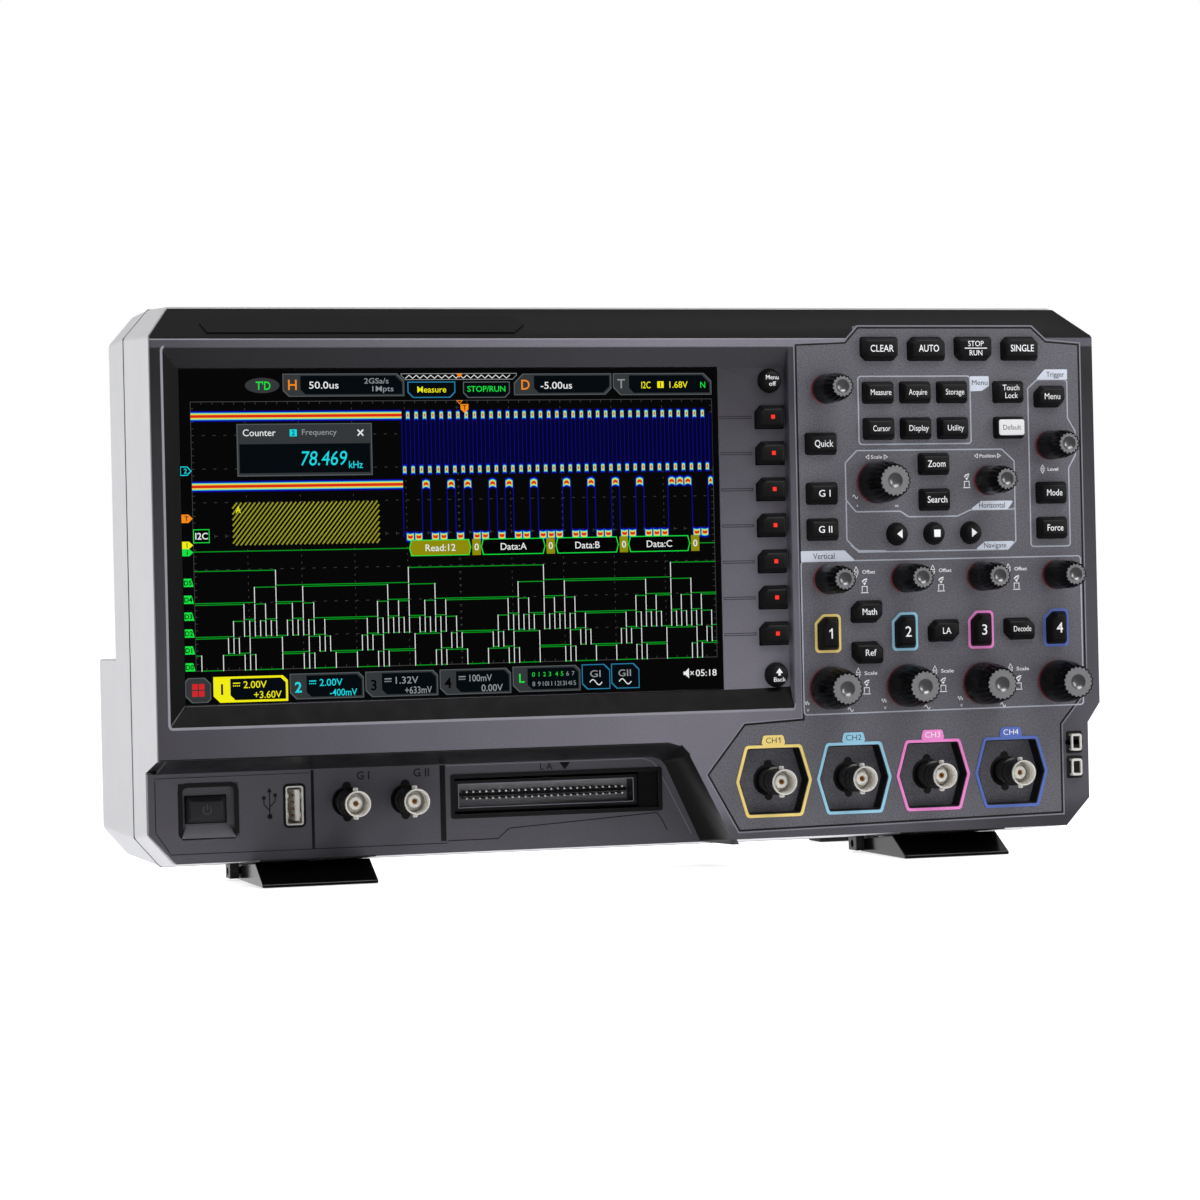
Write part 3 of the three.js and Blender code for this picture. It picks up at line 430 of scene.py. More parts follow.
class Shape:
    """Solids gathered in face millimetres, which then become one piece."""

    def __init__(self):
        self.points, self.faces, self.slots = [], [], []

    def add(self, points, faces, slot=0):
        start = len(self.points)
        self.points += [Vector(point) for point in points]
        self.faces += [[start + i for i in face] for face in faces]
        self.slots += [slot] * len(faces)

    def loft(self, sections, slot=0):
        """A closed skin over outlines that stand at rising depths: [(y, outline), ...]."""
        rings = [(y, left_handed(outline)) for y, outline in sections]
        count = len(rings[0][1])
        points = [(p.x, y, p.y) for y, ring in rings for p in ring]
        faces = [list(range(count)), [len(points) - 1 - i for i in range(count)]]
        for k in range(len(rings) - 1):
            near, far = k * count, (k + 1) * count
            for i in range(count):
                j = (i + 1) % count
                faces.append([near + i, far + i, far + j, near + j])
        self.add(points, faces, slot)

    def plate(self, outline, front, back, slot=0):
        self.loft([(front, outline), (back, outline)], slot)

    def box(self, x, y, z, slot=0):
        self.plate([(x[0], z[0]), (x[1], z[0]), (x[1], z[1]), (x[0], z[1])], y[0], y[1], slot)

    def band(self, inner, outer, front, back, slot=0):
        """A flat ring between two outlines with the same number of points."""
        loops = [left_handed(outer), left_handed(inner)]
        count = len(loops[0])
        points = [(p.x, y, p.y) for loop in loops for y in (front, back) for p in loop]
        outer_front, outer_back, inner_front, inner_back = (k * count for k in range(4))
        faces = []
        for i in range(count):
            j = (i + 1) % count
            faces.append([outer_front + i, outer_front + j, inner_front + j, inner_front + i])
            faces.append([outer_back + i, inner_back + i, inner_back + j, outer_back + j])
            faces.append([outer_front + i, outer_back + i, outer_back + j, outer_front + j])
            faces.append([inner_front + i, inner_front + j, inner_back + j, inner_back + i])
        self.add(points, faces, slot)

    def line(self, points, width, front, back, slot=0):
        """An open line of even width through the points."""
        route = flat(points)
        sides = []
        for i, point in enumerate(route):
            before = (point - route[max(i - 1, 0)]) if i else (route[1] - point)
            after = (route[i + 1] - point) if i + 1 < len(route) else before
            a, b = before.normalized(), after.normalized()
            normal = Vector((-a.y - b.y, a.x + b.x))
            sides.append(normal * (width / max(normal.length_squared, 0.7)))
        left = [p + s for p, s in zip(route, sides)]
        right = [p - s for p, s in zip(route, sides)]
        count = len(route)
        solid = [(p.x, y, p.y) for y in (front, back) for p in left + right]
        faces = [[0, count, 3 * count, 2 * count],
                 [count - 1, 3 * count - 1, 4 * count - 1, 2 * count - 1]]
        for i in range(count - 1):
            j = i + 1
            faces.append([i, j, count + j, count + i][::-1])
            faces.append([2 * count + k for k in (i, j, count + j, count + i)])
            faces.append([i, 2 * count + i, 2 * count + j, j][::-1])
            faces.append([count + k for k in (i, 2 * count + i, 2 * count + j, j)])
        self.add(solid, faces, slot)

    def outline(self, outline, width, front, back, slot=0):
        """A closed line of even width, half of it on each side of the outline."""
        self.band(grow(outline, -width / 2), grow(outline, width / 2), front, back, slot)

    def lathe(self, profile, x, z, segments, slot=0, flutes=0):
        """Profile of (radius, y, flute depth) turned about an axis along Y, from front to back."""
        points, rings = [], []
        for radius, y, *flute in profile:
            depth = flute[0] if flute else 0
            if radius == 0:
                rings.append([len(points)])
                points.append((x, y, z))
                continue
            rings.append(list(range(len(points), len(points) + segments)))
            for i in range(segments):
                angle = 2 * math.pi * i / segments
                r = radius - depth * (0.5 + 0.5 * math.cos(flutes * angle)) ** 1.5
                points.append((x + r * math.cos(angle), y, z + r * math.sin(angle)))
        faces = []
        for near, far in zip(rings, rings[1:]):
            for i in range(segments):
                j = (i + 1) % segments
                if len(near) == 1:
                    faces.append([near[0], far[i], far[j]])
                elif len(far) == 1:
                    faces.append([near[i], far[0], near[j]])
                else:
                    faces.append([near[i], far[i], far[j], near[j]])
        self.add(points, faces, slot)

    def words(self, text, x, z, height, y, slot=0, width=None, weight=0.012, lean=0.0, thick=INK):
        """Lettering with capitals of that height, standing on depth y, and squeezed to a width."""
        curve = bpy.data.curves.new("words", "FONT")
        curve.body = text
        curve.align_x = "CENTER"
        curve.resolution_u = LETTER_STEPS
        curve.offset = weight
        curve.shear = lean
        writer = bpy.data.objects.new("words", curve)
        bpy.context.scene.collection.objects.link(writer)
        graph = bpy.context.evaluated_depsgraph_get()
        mesh = bpy.data.meshes.new_from_object(writer.evaluated_get(graph))
        flats = [v.co.copy() for v in mesh.vertices]
        polygons = []
        for face in mesh.polygons:
            corners = list(face.vertices)
            upright = turns_left([flats[i].xy for i in corners])
            polygons.append(corners if upright else corners[::-1])
        bpy.data.meshes.remove(mesh)
        bpy.data.objects.remove(writer)
        bpy.data.curves.remove(curve)
        scale = height / CAPITAL_HEIGHT
        across = scale
        if width:
            across = width / (max(p.x for p in flats) - min(p.x for p in flats))
        laid = [Vector((p.x * across, (p.y - CAPITAL_HEIGHT / 2) * scale)) for p in flats]
        count = len(laid)
        points = [(x + p.x, depth, z + p.y) for depth in (y - thick, y) for p in laid]
        uses = {}
        for polygon in polygons:
            for a, b in zip(polygon, polygon[1:] + polygon[:1]):
                uses[(a, b)] = uses.get((a, b), 0) + 1
        rim = [(a, b) for a, b in uses if (b, a) not in uses]
        faces = list(polygons) + [[count + i for i in reversed(p)] for p in polygons]
        faces += [[a, count + a, count + b, b] for a, b in rim]
        self.add(points, faces, slot)

    def build(self, name, materials, body="case", slot=None, smooth=None, replaces=()):
        mesh = bpy.data.meshes.new(name)
        mesh.from_pydata([at(*point) for point in self.points], [], self.faces)
        piece = bpy.data.objects.new(name, mesh)
        bpy.context.scene.collection.objects.link(piece)
        paint(piece, *materials)
        mesh.polygons.foreach_set("material_index", self.slots)
        mesh.validate()
        finish_piece(piece, body, smooth, replaces)

    def stand_for(self, node, name, materials, smooth=None):
        """Build the piece that is shown in the place of a CAD node."""
        self.build(name, materials, BODY_OF[node], SLOT_OF[node], smooth, [node])


def finish_piece(piece, body, smooth, replaces):
    if smooth:
        piece.data.shade_smooth()
        piece.data.set_sharp_from_angle(angle=math.radians(smooth))
    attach(piece, body)
    if replaces:
        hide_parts(*replaces)


def soften(node, width, materials, angle=25.0, steps=2, pick=None, shade=None):
    """A copy of a CAD piece with its edges rounded, which stands for it.

    pick chooses edges by their middle, and shade gives a face its material by its middle and normal.
    """
    form = bmesh.new()
    form.from_mesh(NODES[node].data)
    bmesh.ops.remove_doubles(form, verts=form.verts, dist=WELD_DISTANCE)
    bmesh.ops.dissolve_limit(form, angle_limit=math.radians(FLAT_ANGLE), verts=form.verts,
                             edges=form.edges)
    sharp = [edge for edge in form.edges
             if len(edge.link_faces) == 2 and edge.calc_face_angle(0) > math.radians(angle)
             and edge.calc_length() > SHORT_EDGE * width * MM
             and (pick is None or pick(face_mm((edge.verts[0].co + edge.verts[1].co) / 2)))]
    bmesh.ops.bevel(form, geom=sharp, offset=width * MM, offset_type="OFFSET", segments=steps,
                    profile=0.5, affect="EDGES", clamp_overlap=False, miter_outer="ARC")
    if shade:
        form.normal_update()
        for face in form.faces:
            chosen = shade(face_mm(face.calc_center_median()), face.normal)
            face.material_index = materials.index(chosen)
    mesh = bpy.data.meshes.new(node + "_shell")
    piece = bpy.data.objects.new(node + "_shell", mesh)
    bpy.context.scene.collection.objects.link(piece)
    paint(piece, *materials)
    form.to_mesh(mesh)
    form.free()
    finish_piece(piece, BODY_OF[node], SHELL_ANGLE, [node])
    weighted = piece.modifiers.new("weighted", "WEIGHTED_NORMAL")
    weighted.keep_sharp = True


# ---- casing ----------------------------------------------------------------------------------
FRONT_TOP = 188.0
HALF_WIDTH = 183.5
SCREEN_FLOOR = 4.0
STRIP_Y = 24.5
STRIP_TOP = 31.0
SEAM_Y, SEAM_LOW, SEAM_HIGH = 57.0, -5.0, 203.0
CORNER_X, CORNER_Z = 9.5, 11.0
SHADE_X, SHADE_HALF, SHADE_THICK = 124.5, 21.6, 0.55
SHADE_FRONT, SHADE_BACK = 8, 45.5

PANEL_OUTLINE = [
    (61.8, 185.3), (61.8, 44), (38.3, 42.8), (23.4, 24.6), (35.3, 3.3), (166.8, 5.2), (166.8, 39.2),
    (177.6, 52), (177.6, 185.3), (164, 186.4), (158, 191.8), (87, 191.8), (81.7, 186.1)]


def bezel_shade(point, normal):
    """Painted light and shade on the bezel: darker copies of its plastic on the slope over the front
    and on the cheek and sill of the screen, black on the walls over and beside the lower strip, a
    lighter copy on the strip, and painted glints on its edges.
    """
    at_front = point.y < 1
    above_sill = point.z > 50
    by_sill = 34 < point.z < 60 and point.x < 60
    # Black on the walls over and beside the lower strip is painted shade.
    shade_over_strip = normal.z < -0.3 and 28 < point.z < 40
    shade_beside_strip = normal.x < -0.3 and 5 < point.x < 50 and point.z < 40
    if normal.z > 0.5 and normal.y < -0.3 and point.z > FRONT_TOP - 1:
        return SHADED_SLOPE
    if 0.05 < normal.x < 0.45 and point.x < -165 and above_sill and at_front:
        return GLINT
    if normal.x > 0.2 and point.x < -160 and above_sill:
        return SHADED_SLOPE
    if shade_over_strip or shade_beside_strip:
        return BLACK
    if normal.y < -0.9 and point.y > STRIP_Y - 1:
        return LIT_STRIP
    if 0.36 < normal.z < 0.8 and by_sill:
        return SHADED_SILL
    lip = 0.05 < normal.z <= 0.36 and by_sill
    rim = 0.1 < normal.z < 0.6 and abs(point.z - FRONT_TOP) < 0.7
    return GLINT if at_front and (lip or rim) else PAINTED_FRONT


def bezel_edge(point):
    """Edges of the bezel that show, away from its key holes and from the control panel."""
    by_soft_keys = 44 < point.x < 59.5 and point.y > SCREEN_FLOOR - 0.3
    under_panel = point.x > 23 and point.z < 43 or point.x > 61
    return point.y < SCREEN_FLOOR + 0.2 and not by_soft_keys and not under_panel


def frame_edge(point):
    """Edges of the front frame that run from the front to the back along its cut corners."""
    return 15 < point.y < 45 and abs(point.x) > 172 and abs(point.y - 28.8) > 0.5


def housing_edge(point):
    """Outer edges of the rear housing, away from its vents, ports and handle tray."""
    above, below = point.z > 202.5, point.z < -4.5
    return (abs(point.x) > 172 or above and not 58 < point.y < 91 or below and point.y < 58
            or point.y > 130.5 and not -4.5 < point.z < 71.5)


def frame_shade(point, normal):
    """The lugs that carry the legs are black, and so is the ledge over the lower strip, as painted
    shade.
    """
    shaded_ledge = normal.z < -0.8 and 30 < point.z < 38
    return BLACK if point.z < -5.2 or shaded_ledge else LIGHT


def make_casing():
    soften("front_bezel", 0.5, [PAINTED_FRONT, SHADED_SLOPE, GLINT, BLACK, SHADED_SILL, LIT_STRIP], angle=22, pick=bezel_edge,
           shade=bezel_shade)
    soften("front_frame", 0.8, [LIGHT, BLACK], pick=frame_edge, shade=frame_shade)
    soften("rear_housing", 0.9, [LIGHT], pick=housing_edge)
    for side in ("left", "right"):
        soften("leg_" + side, 0.45, [GLOSS], steps=3)
        soften("rear_foot_" + side, 0.5, [FOOT])
    soften("handle", 0.6, [BLACK])


def make_seam():
    """A dark ring in the gap between the front frame and the rear housing."""
    corner = [(HALF_WIDTH - CORNER_X, SEAM_LOW), (HALF_WIDTH, SEAM_LOW + CORNER_Z),
              (HALF_WIDTH, SEAM_HIGH - CORNER_Z), (HALF_WIDTH - CORNER_X, SEAM_HIGH)]
    outline = corner + [(-x, z) for x, z in reversed(corner)]
    ring = Shape()
    ring.band(grow(outline, -0.8), grow(outline, 0.06), SEAM_Y - 0.8, SEAM_Y + 1.1)
    ring.build("seam", [SHADOW], slot="light_plastic")


def underside(y):
    """Height of the sloping underside at a depth."""
    return -5.0 * (y - 2.8) / 54.2


def make_leg_pads():
    """Dark sheets of painted shade on the sloping underside, between the case and its legs."""
    front, back = underside(SHADE_FRONT), underside(SHADE_BACK)
    section = [(SHADE_FRONT, front), (SHADE_BACK, back), (SHADE_BACK, back - SHADE_THICK),
               (SHADE_FRONT, front - SHADE_THICK)]
    faces = [(3, 2, 1, 0), (4, 5, 6, 7)]
    faces += [(k, (k + 1) % 4, (k + 1) % 4 + 4, k + 4) for k in range(4)]
    for side, name in ((-1, "underside_shade_left"), (1, "underside_shade_right")):
        sheet = Shape()
        ends = (side * SHADE_X - SHADE_HALF, side * SHADE_X + SHADE_HALF)
        sheet.add([(x, y, z) for x in ends for y, z in section], faces)
        sheet.build(name, [BLACK], slot="light_plastic")


make_casing()
make_seam()
make_leg_pads()

# ---- line art and legends of the control panel -----------------------------------------------
COLUMNS = [72.3 + 31.2 * i for i in range(4)]
OFFSET_Z, SCALE_Z, CHANNEL_KEY_Z = 96.7, 55.7, 76.3
PRINT = 0.06                    # how far printed lines stand out of the panel
LINE = 0.5                      # width of the lines around the groups

FRAMES = [
    [(86.5, 147.6), (132.3, 147.6), (132.3, 173.4), (86.5, 173.4)],
    [(85.4, 145.3), (80.7, 140.7), (80.7, 126.6), (84.6, 122.1), (102.6, 122.1), (106, 119.9),
     (126, 119.9), (131.4, 122.2), (149.9, 122.2), (149.9, 140.7), (144.8, 145.3)],
    [(156.2, 107.7), (172.6, 107.7), (172.6, 137.7), (175.6, 142.8), (175.6, 152), (172.6, 157),
     (172.6, 171.9), (160.2, 171.9), (156.2, 168.6)],
    [(62, 45.8), (176.7, 46.4), (176.7, 103.8), (62, 103.6)],
]
TABS = [                        # outline, caption, its middle, height and width
    ([(132.3, 173.3), (132.3, 167.5), (137.2, 167.7), (140.1, 169.5), (140.1, 173.3)],
     "Menu", 136.3, 170.9, 1.9, 6.4),
    ([(159.6, 171.9), (172.8, 171.9), (172.8, 175.8), (163.4, 175.8)],
     "Trigger", 167.8, 173.9, 1.9, 7.4),
    ([(131.1, 122.2), (146.7, 122.2), (149.3, 125.5), (135.8, 125.5)],
     "Horizontal", 140.3, 123.9, 2.1, 10.6),
    ([(132.9, 106.9), (146.8, 106.9), (149.4, 110), (137.1, 110)],
     "Navigate", 141.2, 108.5, 1.9, 9.2),
    ([(62, 103.5), (84, 103.5), (79.6, 107.6), (62, 107.6)], "Vertical", 71.3, 105.6, 2.2, 8.6),
]


def arrow_head(shape, x, z, dx, dz, reach, width):
    """Outlined triangle whose tip points along (dx, dz)."""
    tip = (x + dx * reach, z + dz * reach)
    left, right = (x - dz * width, z + dx * width), (x + dz * width, z - dx * width)
    shape.outline([tip, left, right], 0.22, -PRINT, 0)


def press_icon(shape, x, z):
    """A finger over a knob seen from the side: push to set."""
    shape.line([(x - 1.0, z + 2.2), (x - 0.1, z + 3.0), (x + 1.1, z + 3.3)], 0.5, -PRINT, 0)
    shape.line([(x + 0.2, z + 2.2), (x + 1.0, z + 2.6)], 0.35, -PRINT, 0)
    shape.plate([(x, z + 0.9), (x + 0.7, z + 1.9), (x - 0.7, z + 1.9)], -PRINT, 0)
    shape.line([(x - 1, z - 1.5), (x - 1, z + 0.5), (x + 1, z + 0.5), (x + 1, z - 1.5)], 0.28,
               -PRINT, 0)
    shape.line([(x - 1.5, z - 1.9), (x + 1.5, z - 1.9)], 0.3, -PRINT, 0)


def wave_icon(shape, x, z, size, bursts):
    """A sine wave of one or more turns."""
    points = [(x + size * (i / 12 - 0.5), z + 0.35 * size * math.sin(i / 12 * 2 * math.pi * bursts))
              for i in range(13)]
    shape.line(points, 0.2, -PRINT, 0)


def make_panel_print():
    lines = Shape()
    for frame_outline in FRAMES:
        lines.outline(rounded(frame_outline, 1.2), LINE, -PRINT, 0)
    lines.line([(80.7, 126), (80.7, 111.6), (85.4, 106.8), (146.4, 106.8), (149.9, 110),
                (149.9, 122.8)], LINE, -PRINT + 0.01, 0)
    lines.plate([(81.9, 109.4), (82.6, 109.4), (85.6, 107.6), (96.6, 107.4), (96.2, 106.8),
                 (85.2, 106.8)], -PRINT - 0.02, 0)
    lines.build("panel_lines", [FAINT], slot="panel_plastic")
    edge = Shape()
    edge.outline(PANEL_OUTLINE, 0.55, -0.04, 0.2)
    # A dark line in the gap round the panel, and outside it a painted highlight.
    edge.outline(grow(PANEL_OUTLINE, 0.75), 0.5, -0.03, 0.1, 1)
    edge.build("panel_gap_and_highlight_line", [SHADOW, LIT], slot="panel_plastic")
    tabs, captions = Shape(), Shape()
    for outline, caption, x, z, height, width in TABS:
        tabs.plate(rounded(outline, 0.4), -PRINT - 0.03, 0)
        captions.words(caption, x, z, height, -PRINT - 0.04, width=width, weight=0.0)
    tabs.build("panel_tabs", [TAB], slot="panel_plastic")
    captions.build("panel_tab_captions", [DARK_INK], slot="panel_plastic")

    small = Shape()
    for x in COLUMNS[:3]:
        for knob_z, caption in ((OFFSET_Z, "Offset"), (SCALE_Z, "Scale")):
            z = knob_z + (2.6 if caption == "Offset" else 5.2)
            arrow_head(small, x + 11.8, z + 0.3, 0, 1, 1.7, 0.85)
            arrow_head(small, x + 11.8, z - 0.3, 0, -1, 1.7, 0.85)
            small.words(caption, x + 16.9, z, 1.35, 0, width=5.2, weight=0.01)
            press_icon(small, x + 15.1, z - 6)
        wave_icon(small, x - 9.2, SCALE_Z - 5.4, 2.0, 2)
        wave_icon(small, x + 8.4, SCALE_Z - 8.4, 2.2, 1)
        small.words("V", x - 8.8, SCALE_Z - 8.2, 1.1, 0, weight=0.0)
    for caption, x in (("Scale", 93.4), ("Position", 138.9)):
        half = 2.6 if caption == "Scale" else 3.6
        small.words(caption, x, 142.8, 1.3, 0, width=2 * half - 0.6, weight=0.01)
        arrow_head(small, x - half - 0.5, 142.8, -1, 0, 1.3, 0.8)
        arrow_head(small, x + half + 0.5, 142.8, 1, 0, 1.3, 0.8)
    press_icon(small, 130.1, 132.6)
    small.words("ns", 101.2, 124.3, 1.1, 0, weight=0.0)
    small.words("s", 85.2, 124.6, 1.1, 0, weight=0.0)
    wave_icon(small, 84.4, 127.8, 2.0, 1)
    arrow_head(small, 161.7, 137.7, 0, 1, 1.3, 0.75)
    arrow_head(small, 161.7, 137.1, 0, -1, 1.3, 0.75)
    small.words("Level", 166, 137.4, 1.3, 0, width=4.4, weight=0.01)
    small.build("panel_legends", [LEGEND], slot="panel_plastic")


make_panel_print()

# ---- keys ------------------------------------------------------------------------------------
KEY_RISE = 3.6
KEY_FLANGE = 3.6                # depth of the flange that holds a key behind the panel
CUT = 2.6                       # size of a key's cut corners
CIRCLE_STEPS = 32               # of the round keys
# How far the skin of a key is drawn in at each depth in front of its panel.
KEY_SKIN = [(-0.7, 0.0), (-1.15, 0.1), (-2.7, 0.72), (-3.15, 0.95), (-3.42, 1.25), (-KEY_RISE, 1.7)]


def menu_key(x, z, cuts=None, width=12.4, height=8.0):
    return rectangle(x, z, width, height, cuts)


def top_key(i, cuts):
    return rectangle(95.2 + 19.2 * i, 183.8, 15, 8.8, cuts)


# For each key of a node: its outline, its caption, and the caption's height and width.
KEYS = {
    "clear_key": [(top_key(0, {"bl": 2, "br": 2}), "CLEAR", 2.55, 9.4)],
    "auto_key": [(top_key(1, {"tl": 2, "tr": 2}), "AUTO", 2.55, 8.2)],
    "run_stop_key": [(top_key(2, {"bl": 2, "br": 2}), "STOP/RUN", 2.0, 0)],
    "single_key": [(top_key(3, {"tl": 2, "tr": 2}), "SINGLE", 2.55, 9.6)],
    "menu_keys": [
        (menu_key(x, z), caption, 2.15, width)
        for z, row in ((167.2, (("Measure", 8.3), ("Acquire", 7.4), ("Storage", 7.5))),
                       (153.5, (("Cursor", 7.0), ("Display", 7.9), ("Utility", 6.6))))
        for x, (caption, width) in zip((94.4, 109.5, 124.6), row)],
    "touch_lock_key": [(menu_key(147.8, 167.2), "Touch/Lock", 2.1, 0)],
    "default_key": [(menu_key(147.8, 153.5), "Default", 1.9, 7.4)],
    "quick_and_generator_keys": [
        (menu_key(70.9, z), caption, 2.5, width)
        for z, caption, width in ((148, "Quick", 7.4), (129.2, "G I", 4.6), (115.6, "G II", 5.4))],
    "zoom_and_search_keys": [
        (menu_key(116.5, 139.9), "Zoom", 2.45, 7.2), (menu_key(116.5, 126.3), "Search", 2.45, 8.0)],
    "navigate_keys": [(circle(x, 113.4, 4.15, CIRCLE_STEPS), icon, 0, 0)
                      for x, icon in ((101, "left"), (116.1, "stop"), (131.2, "right"))],
    "trigger_keys": [
        (menu_key(164.9, 165.3, {"tl": CUT, "br": CUT}), "Menu", 2.3, 6.4),
        (menu_key(164.9, 128.3), "Mode", 2.4, 6.4), (menu_key(164.9, 114.8), "Force", 2.4, 6.6)],
    "math_ref_la_decode_keys": [
        (menu_key(87.9, 84.2, {"tl": CUT, "br": CUT}), "Math", 2.35, 5.8),
        (menu_key(87.9, 68.7, {"tr": CUT, "bl": CUT}), "Ref", 2.35, 4.3),
        (menu_key(119.1, 76.3, {"tl": CUT, "br": CUT}), "LA", 2.35, 3.4),
        (menu_key(150.3, 76.3, {"tr": CUT, "bl": CUT}), "Decode", 2.1, 7.2)],
}
for number in range(4):
    KEYS[f"channel_{number + 1}_key"] = [
        (menu_key(COLUMNS[number], CHANNEL_KEY_Z, {"tl": CUT}, 8, 12), str(number + 1), 3.9, 0)]


def key_body(shape, outline, face, flange, round_corners=True):
    """A key whose skin draws in towards its top, with a flange that holds it behind its panel."""
    def skin(inset):
        drawn = grow(outline, -inset)
        return rounded(drawn, 1.0 - 0.3 * inset, 4) if round_corners else drawn

    sections = [(face + depth, skin(inset)) for depth, inset in reversed(KEY_SKIN)]
    shape.loft(sections + [(flange, skin(0))])
    shape.plate(grow(outline, 0.9), flange + 0.01, flange + 0.9)


def figure_one(shape, x, z, height, y, slot=0):
    """The figure 1, with a flag, which the lettering draws as a bare bar."""
    outline = [(-0.01, -0.5), (0.14, -0.5), (0.14, 0.5), (0.03, 0.5), (-0.22, 0.27), (-0.22, 0.12),
               (-0.01, 0.26)]
    shape.plate([(x + u * height, z + v * height) for u, v in outline], y - INK, y, slot)


def key_mark(shape, caption, x, z, height, width, y):
    """What a key carries: one or two lines of lettering, or a sign."""
    if caption == "left":
        shape.plate([(x - 1.3, z), (x + 0.9, z - 1.7), (x + 0.9, z + 1.7)], y - INK, y)
    elif caption == "right":
        shape.plate([(x + 1.3, z), (x - 0.9, z + 1.7), (x - 0.9, z - 1.7)], y - INK, y)
    elif caption == "stop":
        shape.plate(rectangle(x, z, 2.6, 2.8), y - INK, y)
    elif caption == "1":
        figure_one(shape, x, z, height, y)
    elif caption == "STOP/RUN":
        shape.words("STOP", x, z + 1.75, height, y, width=6.4, weight=0.0)
        shape.words("RUN", x, z - 1.75, height, y, width=5.2, weight=0.004)
        shape.plate(rectangle(x, z, 9.2, 0.35), y - INK, y)
    elif caption == "Touch/Lock":
        shape.words("Touch", x, z + 1.5, height, y, width=6.8, weight=0.0)
        shape.words("Lock", x, z - 1.5, height, y, width=5.2, weight=0.0)
    else:
        weight = 0.003 if height > 2.3 else -0.003
        shape.words(caption, x, z, height, y, width=width or None, weight=weight)


def key_collar(shape, outline, face):
    """A thin ring on the panel, which rounds the corners of the key's hole."""
    inner = rounded(grow(outline, 0.22), 1.1)
    shape.band(inner, rounded(grow(outline, 1.0), 1.1), face - 0.07, face)


def make_keys():
    collars = Shape()
    for node, keys in KEYS.items():
        keycaps, marks = Shape(), Shape()
        for outline, caption, height, width in keys:
            has_corners = len(outline) < CIRCLE_STEPS
            key_body(keycaps, outline, 0, KEY_FLANGE, has_corners)
            if has_corners:
                key_collar(collars, outline, 0)
            low, high = min(p.y for p in outline), max(p.y for p in outline)
            left, right = min(p.x for p in outline), max(p.x for p in outline)
            key_mark(marks, caption, (left + right) / 2, (low + high) / 2, height, width, -KEY_RISE)
        pale = node == "default_key"
        if pale:
            face = rounded(grow(keys[0][0], -0.95), 0.9)
            keycaps.loft([(-KEY_RISE - 0.02, grow(face, -0.5)), (-KEY_RISE + 0.16, grow(face, -0.05)),
                          (-KEY_RISE + 0.9, face)], 1)
        keycaps.stand_for(node, node + "_cap", [RUBBER, WHITE_KEY], 32)
        marks.build(node + "_mark", [DARK_INK if pale else LEGEND], BODY_OF[node], SLOT_OF[node])
    collars.build("key_collars", [PANEL], slot="panel_plastic")


def make_channel_outlines():
    for i, x in enumerate(COLUMNS):
        frame_shape = Shape()
        inner = rounded(menu_key(x - 0.1, CHANNEL_KEY_Z, {"tl": CUT + 0.1}, 8.6, 12.6), 0.8)
        frame_shape.band(inner, grow(inner, 1.0), -0.12, 0)
        frame_shape.build(f"channel_{i + 1}_key_outline", [CHANNEL_INKS[i]], slot="panel_plastic")


make_keys()
make_channel_outlines()

# ---- knobs -----------------------------------------------------------------------------------
KNOB_RISE = 19.5
LARGE = (8.2, 6.3, 2.9, 20)     # radii of the base, the face and its dish, and the count of flutes
SMALL = (5.65, 4.5, 2.6, 16)
LARGE_KNOB_WIDTH = 14           # a knob that is wider has the large sizes
KNOBS = [node for node in NODES if "_knob" in node]


def make_knob(node):
    """Fluted grip over a red ring, with a metal face that has a dish in its middle."""
    low, high = node_box(node)
    x, z = centre_of(node)
    base, face, dish, flutes = LARGE if high.x - low.x > LARGE_KNOB_WIDTH else SMALL
    shoulder = (base + face) / 2 + 0.35
    body = Shape()
    grip = behind(-KNOB_RISE, [
        (0, 1.3), (face - 0.55, 1.3, 0.3), (face - 0.5, 0.12, 0.4), (face - 0.1, 0.06, 0.5),
        (face, 0.35, 0.5), (face + 0.3, 2.2, 0.42), (face + 0.75, 4.6, 0.2), (shoulder, 7.5, 0.1),
        (base - 0.3, 12, 0.06)])
    foot = [(base - 0.04, -4.6, 0.03), (base, -3.2), (base, -2.1), (base - 0.25, -1.75), (3, -1.7),
            (3, 6.3), (0, 6.3)]
    body.lathe(grip + foot, x, z, flutes * 6, 0, flutes)
    body.lathe([(0, -1.65), (base - 0.2, -1.65), (base - 0.06, -1.5), (base - 0.06, -0.75),
                (base - 0.3, -0.6), (0, -0.6)], x, z, 64, 1)
    rim = face - 0.5
    body.lathe(behind(-KNOB_RISE, [
        (0, 1.05), (dish * 0.4, 0.98), (dish * 0.75, 0.62), (dish, 0.1), (dish + 0.12, 0.0),
        (rim - 0.12, 0.0, 0.56), (rim, 0.1, 0.62), (rim, 1.2, 0.62), (0, 1.2)]),
        x, z, flutes * 6, 2, flutes)
    for i, corners in enumerate(body.faces):
        centre = sum((body.points[k] for k in corners), Vector()) / len(corners)
        if body.slots[i] == 2 and math.hypot(centre.x - x, centre.z - z) < dish:
            body.slots[i] = 3
    body.stand_for(node, node + "_turned", [KNOB, KNOB_RED, KNOB_METAL, KNOB_DISH], 24)


for node in KNOBS:
    make_knob(node)

# ---- channel sockets -------------------------------------------------------------------------
BNC_Z = 21.5
HEX_Z, HEX_HALF = 21.4, 12.3    # middle and half height of a six-sided recess
HEX_FLAT, HEX_POINT = 10.2, 13.8
HEX_DEPTH = 6.5
CHANNEL_SEAT = 8.8              # depth of the block behind the barrel of a connector
GENERATOR_SEAT = 28.8
CAPTION_Z, CAPTION_HEIGHT = 36.7, 2.1
CAPTION_Y = -0.33               # surface of the tab that the caption stands on


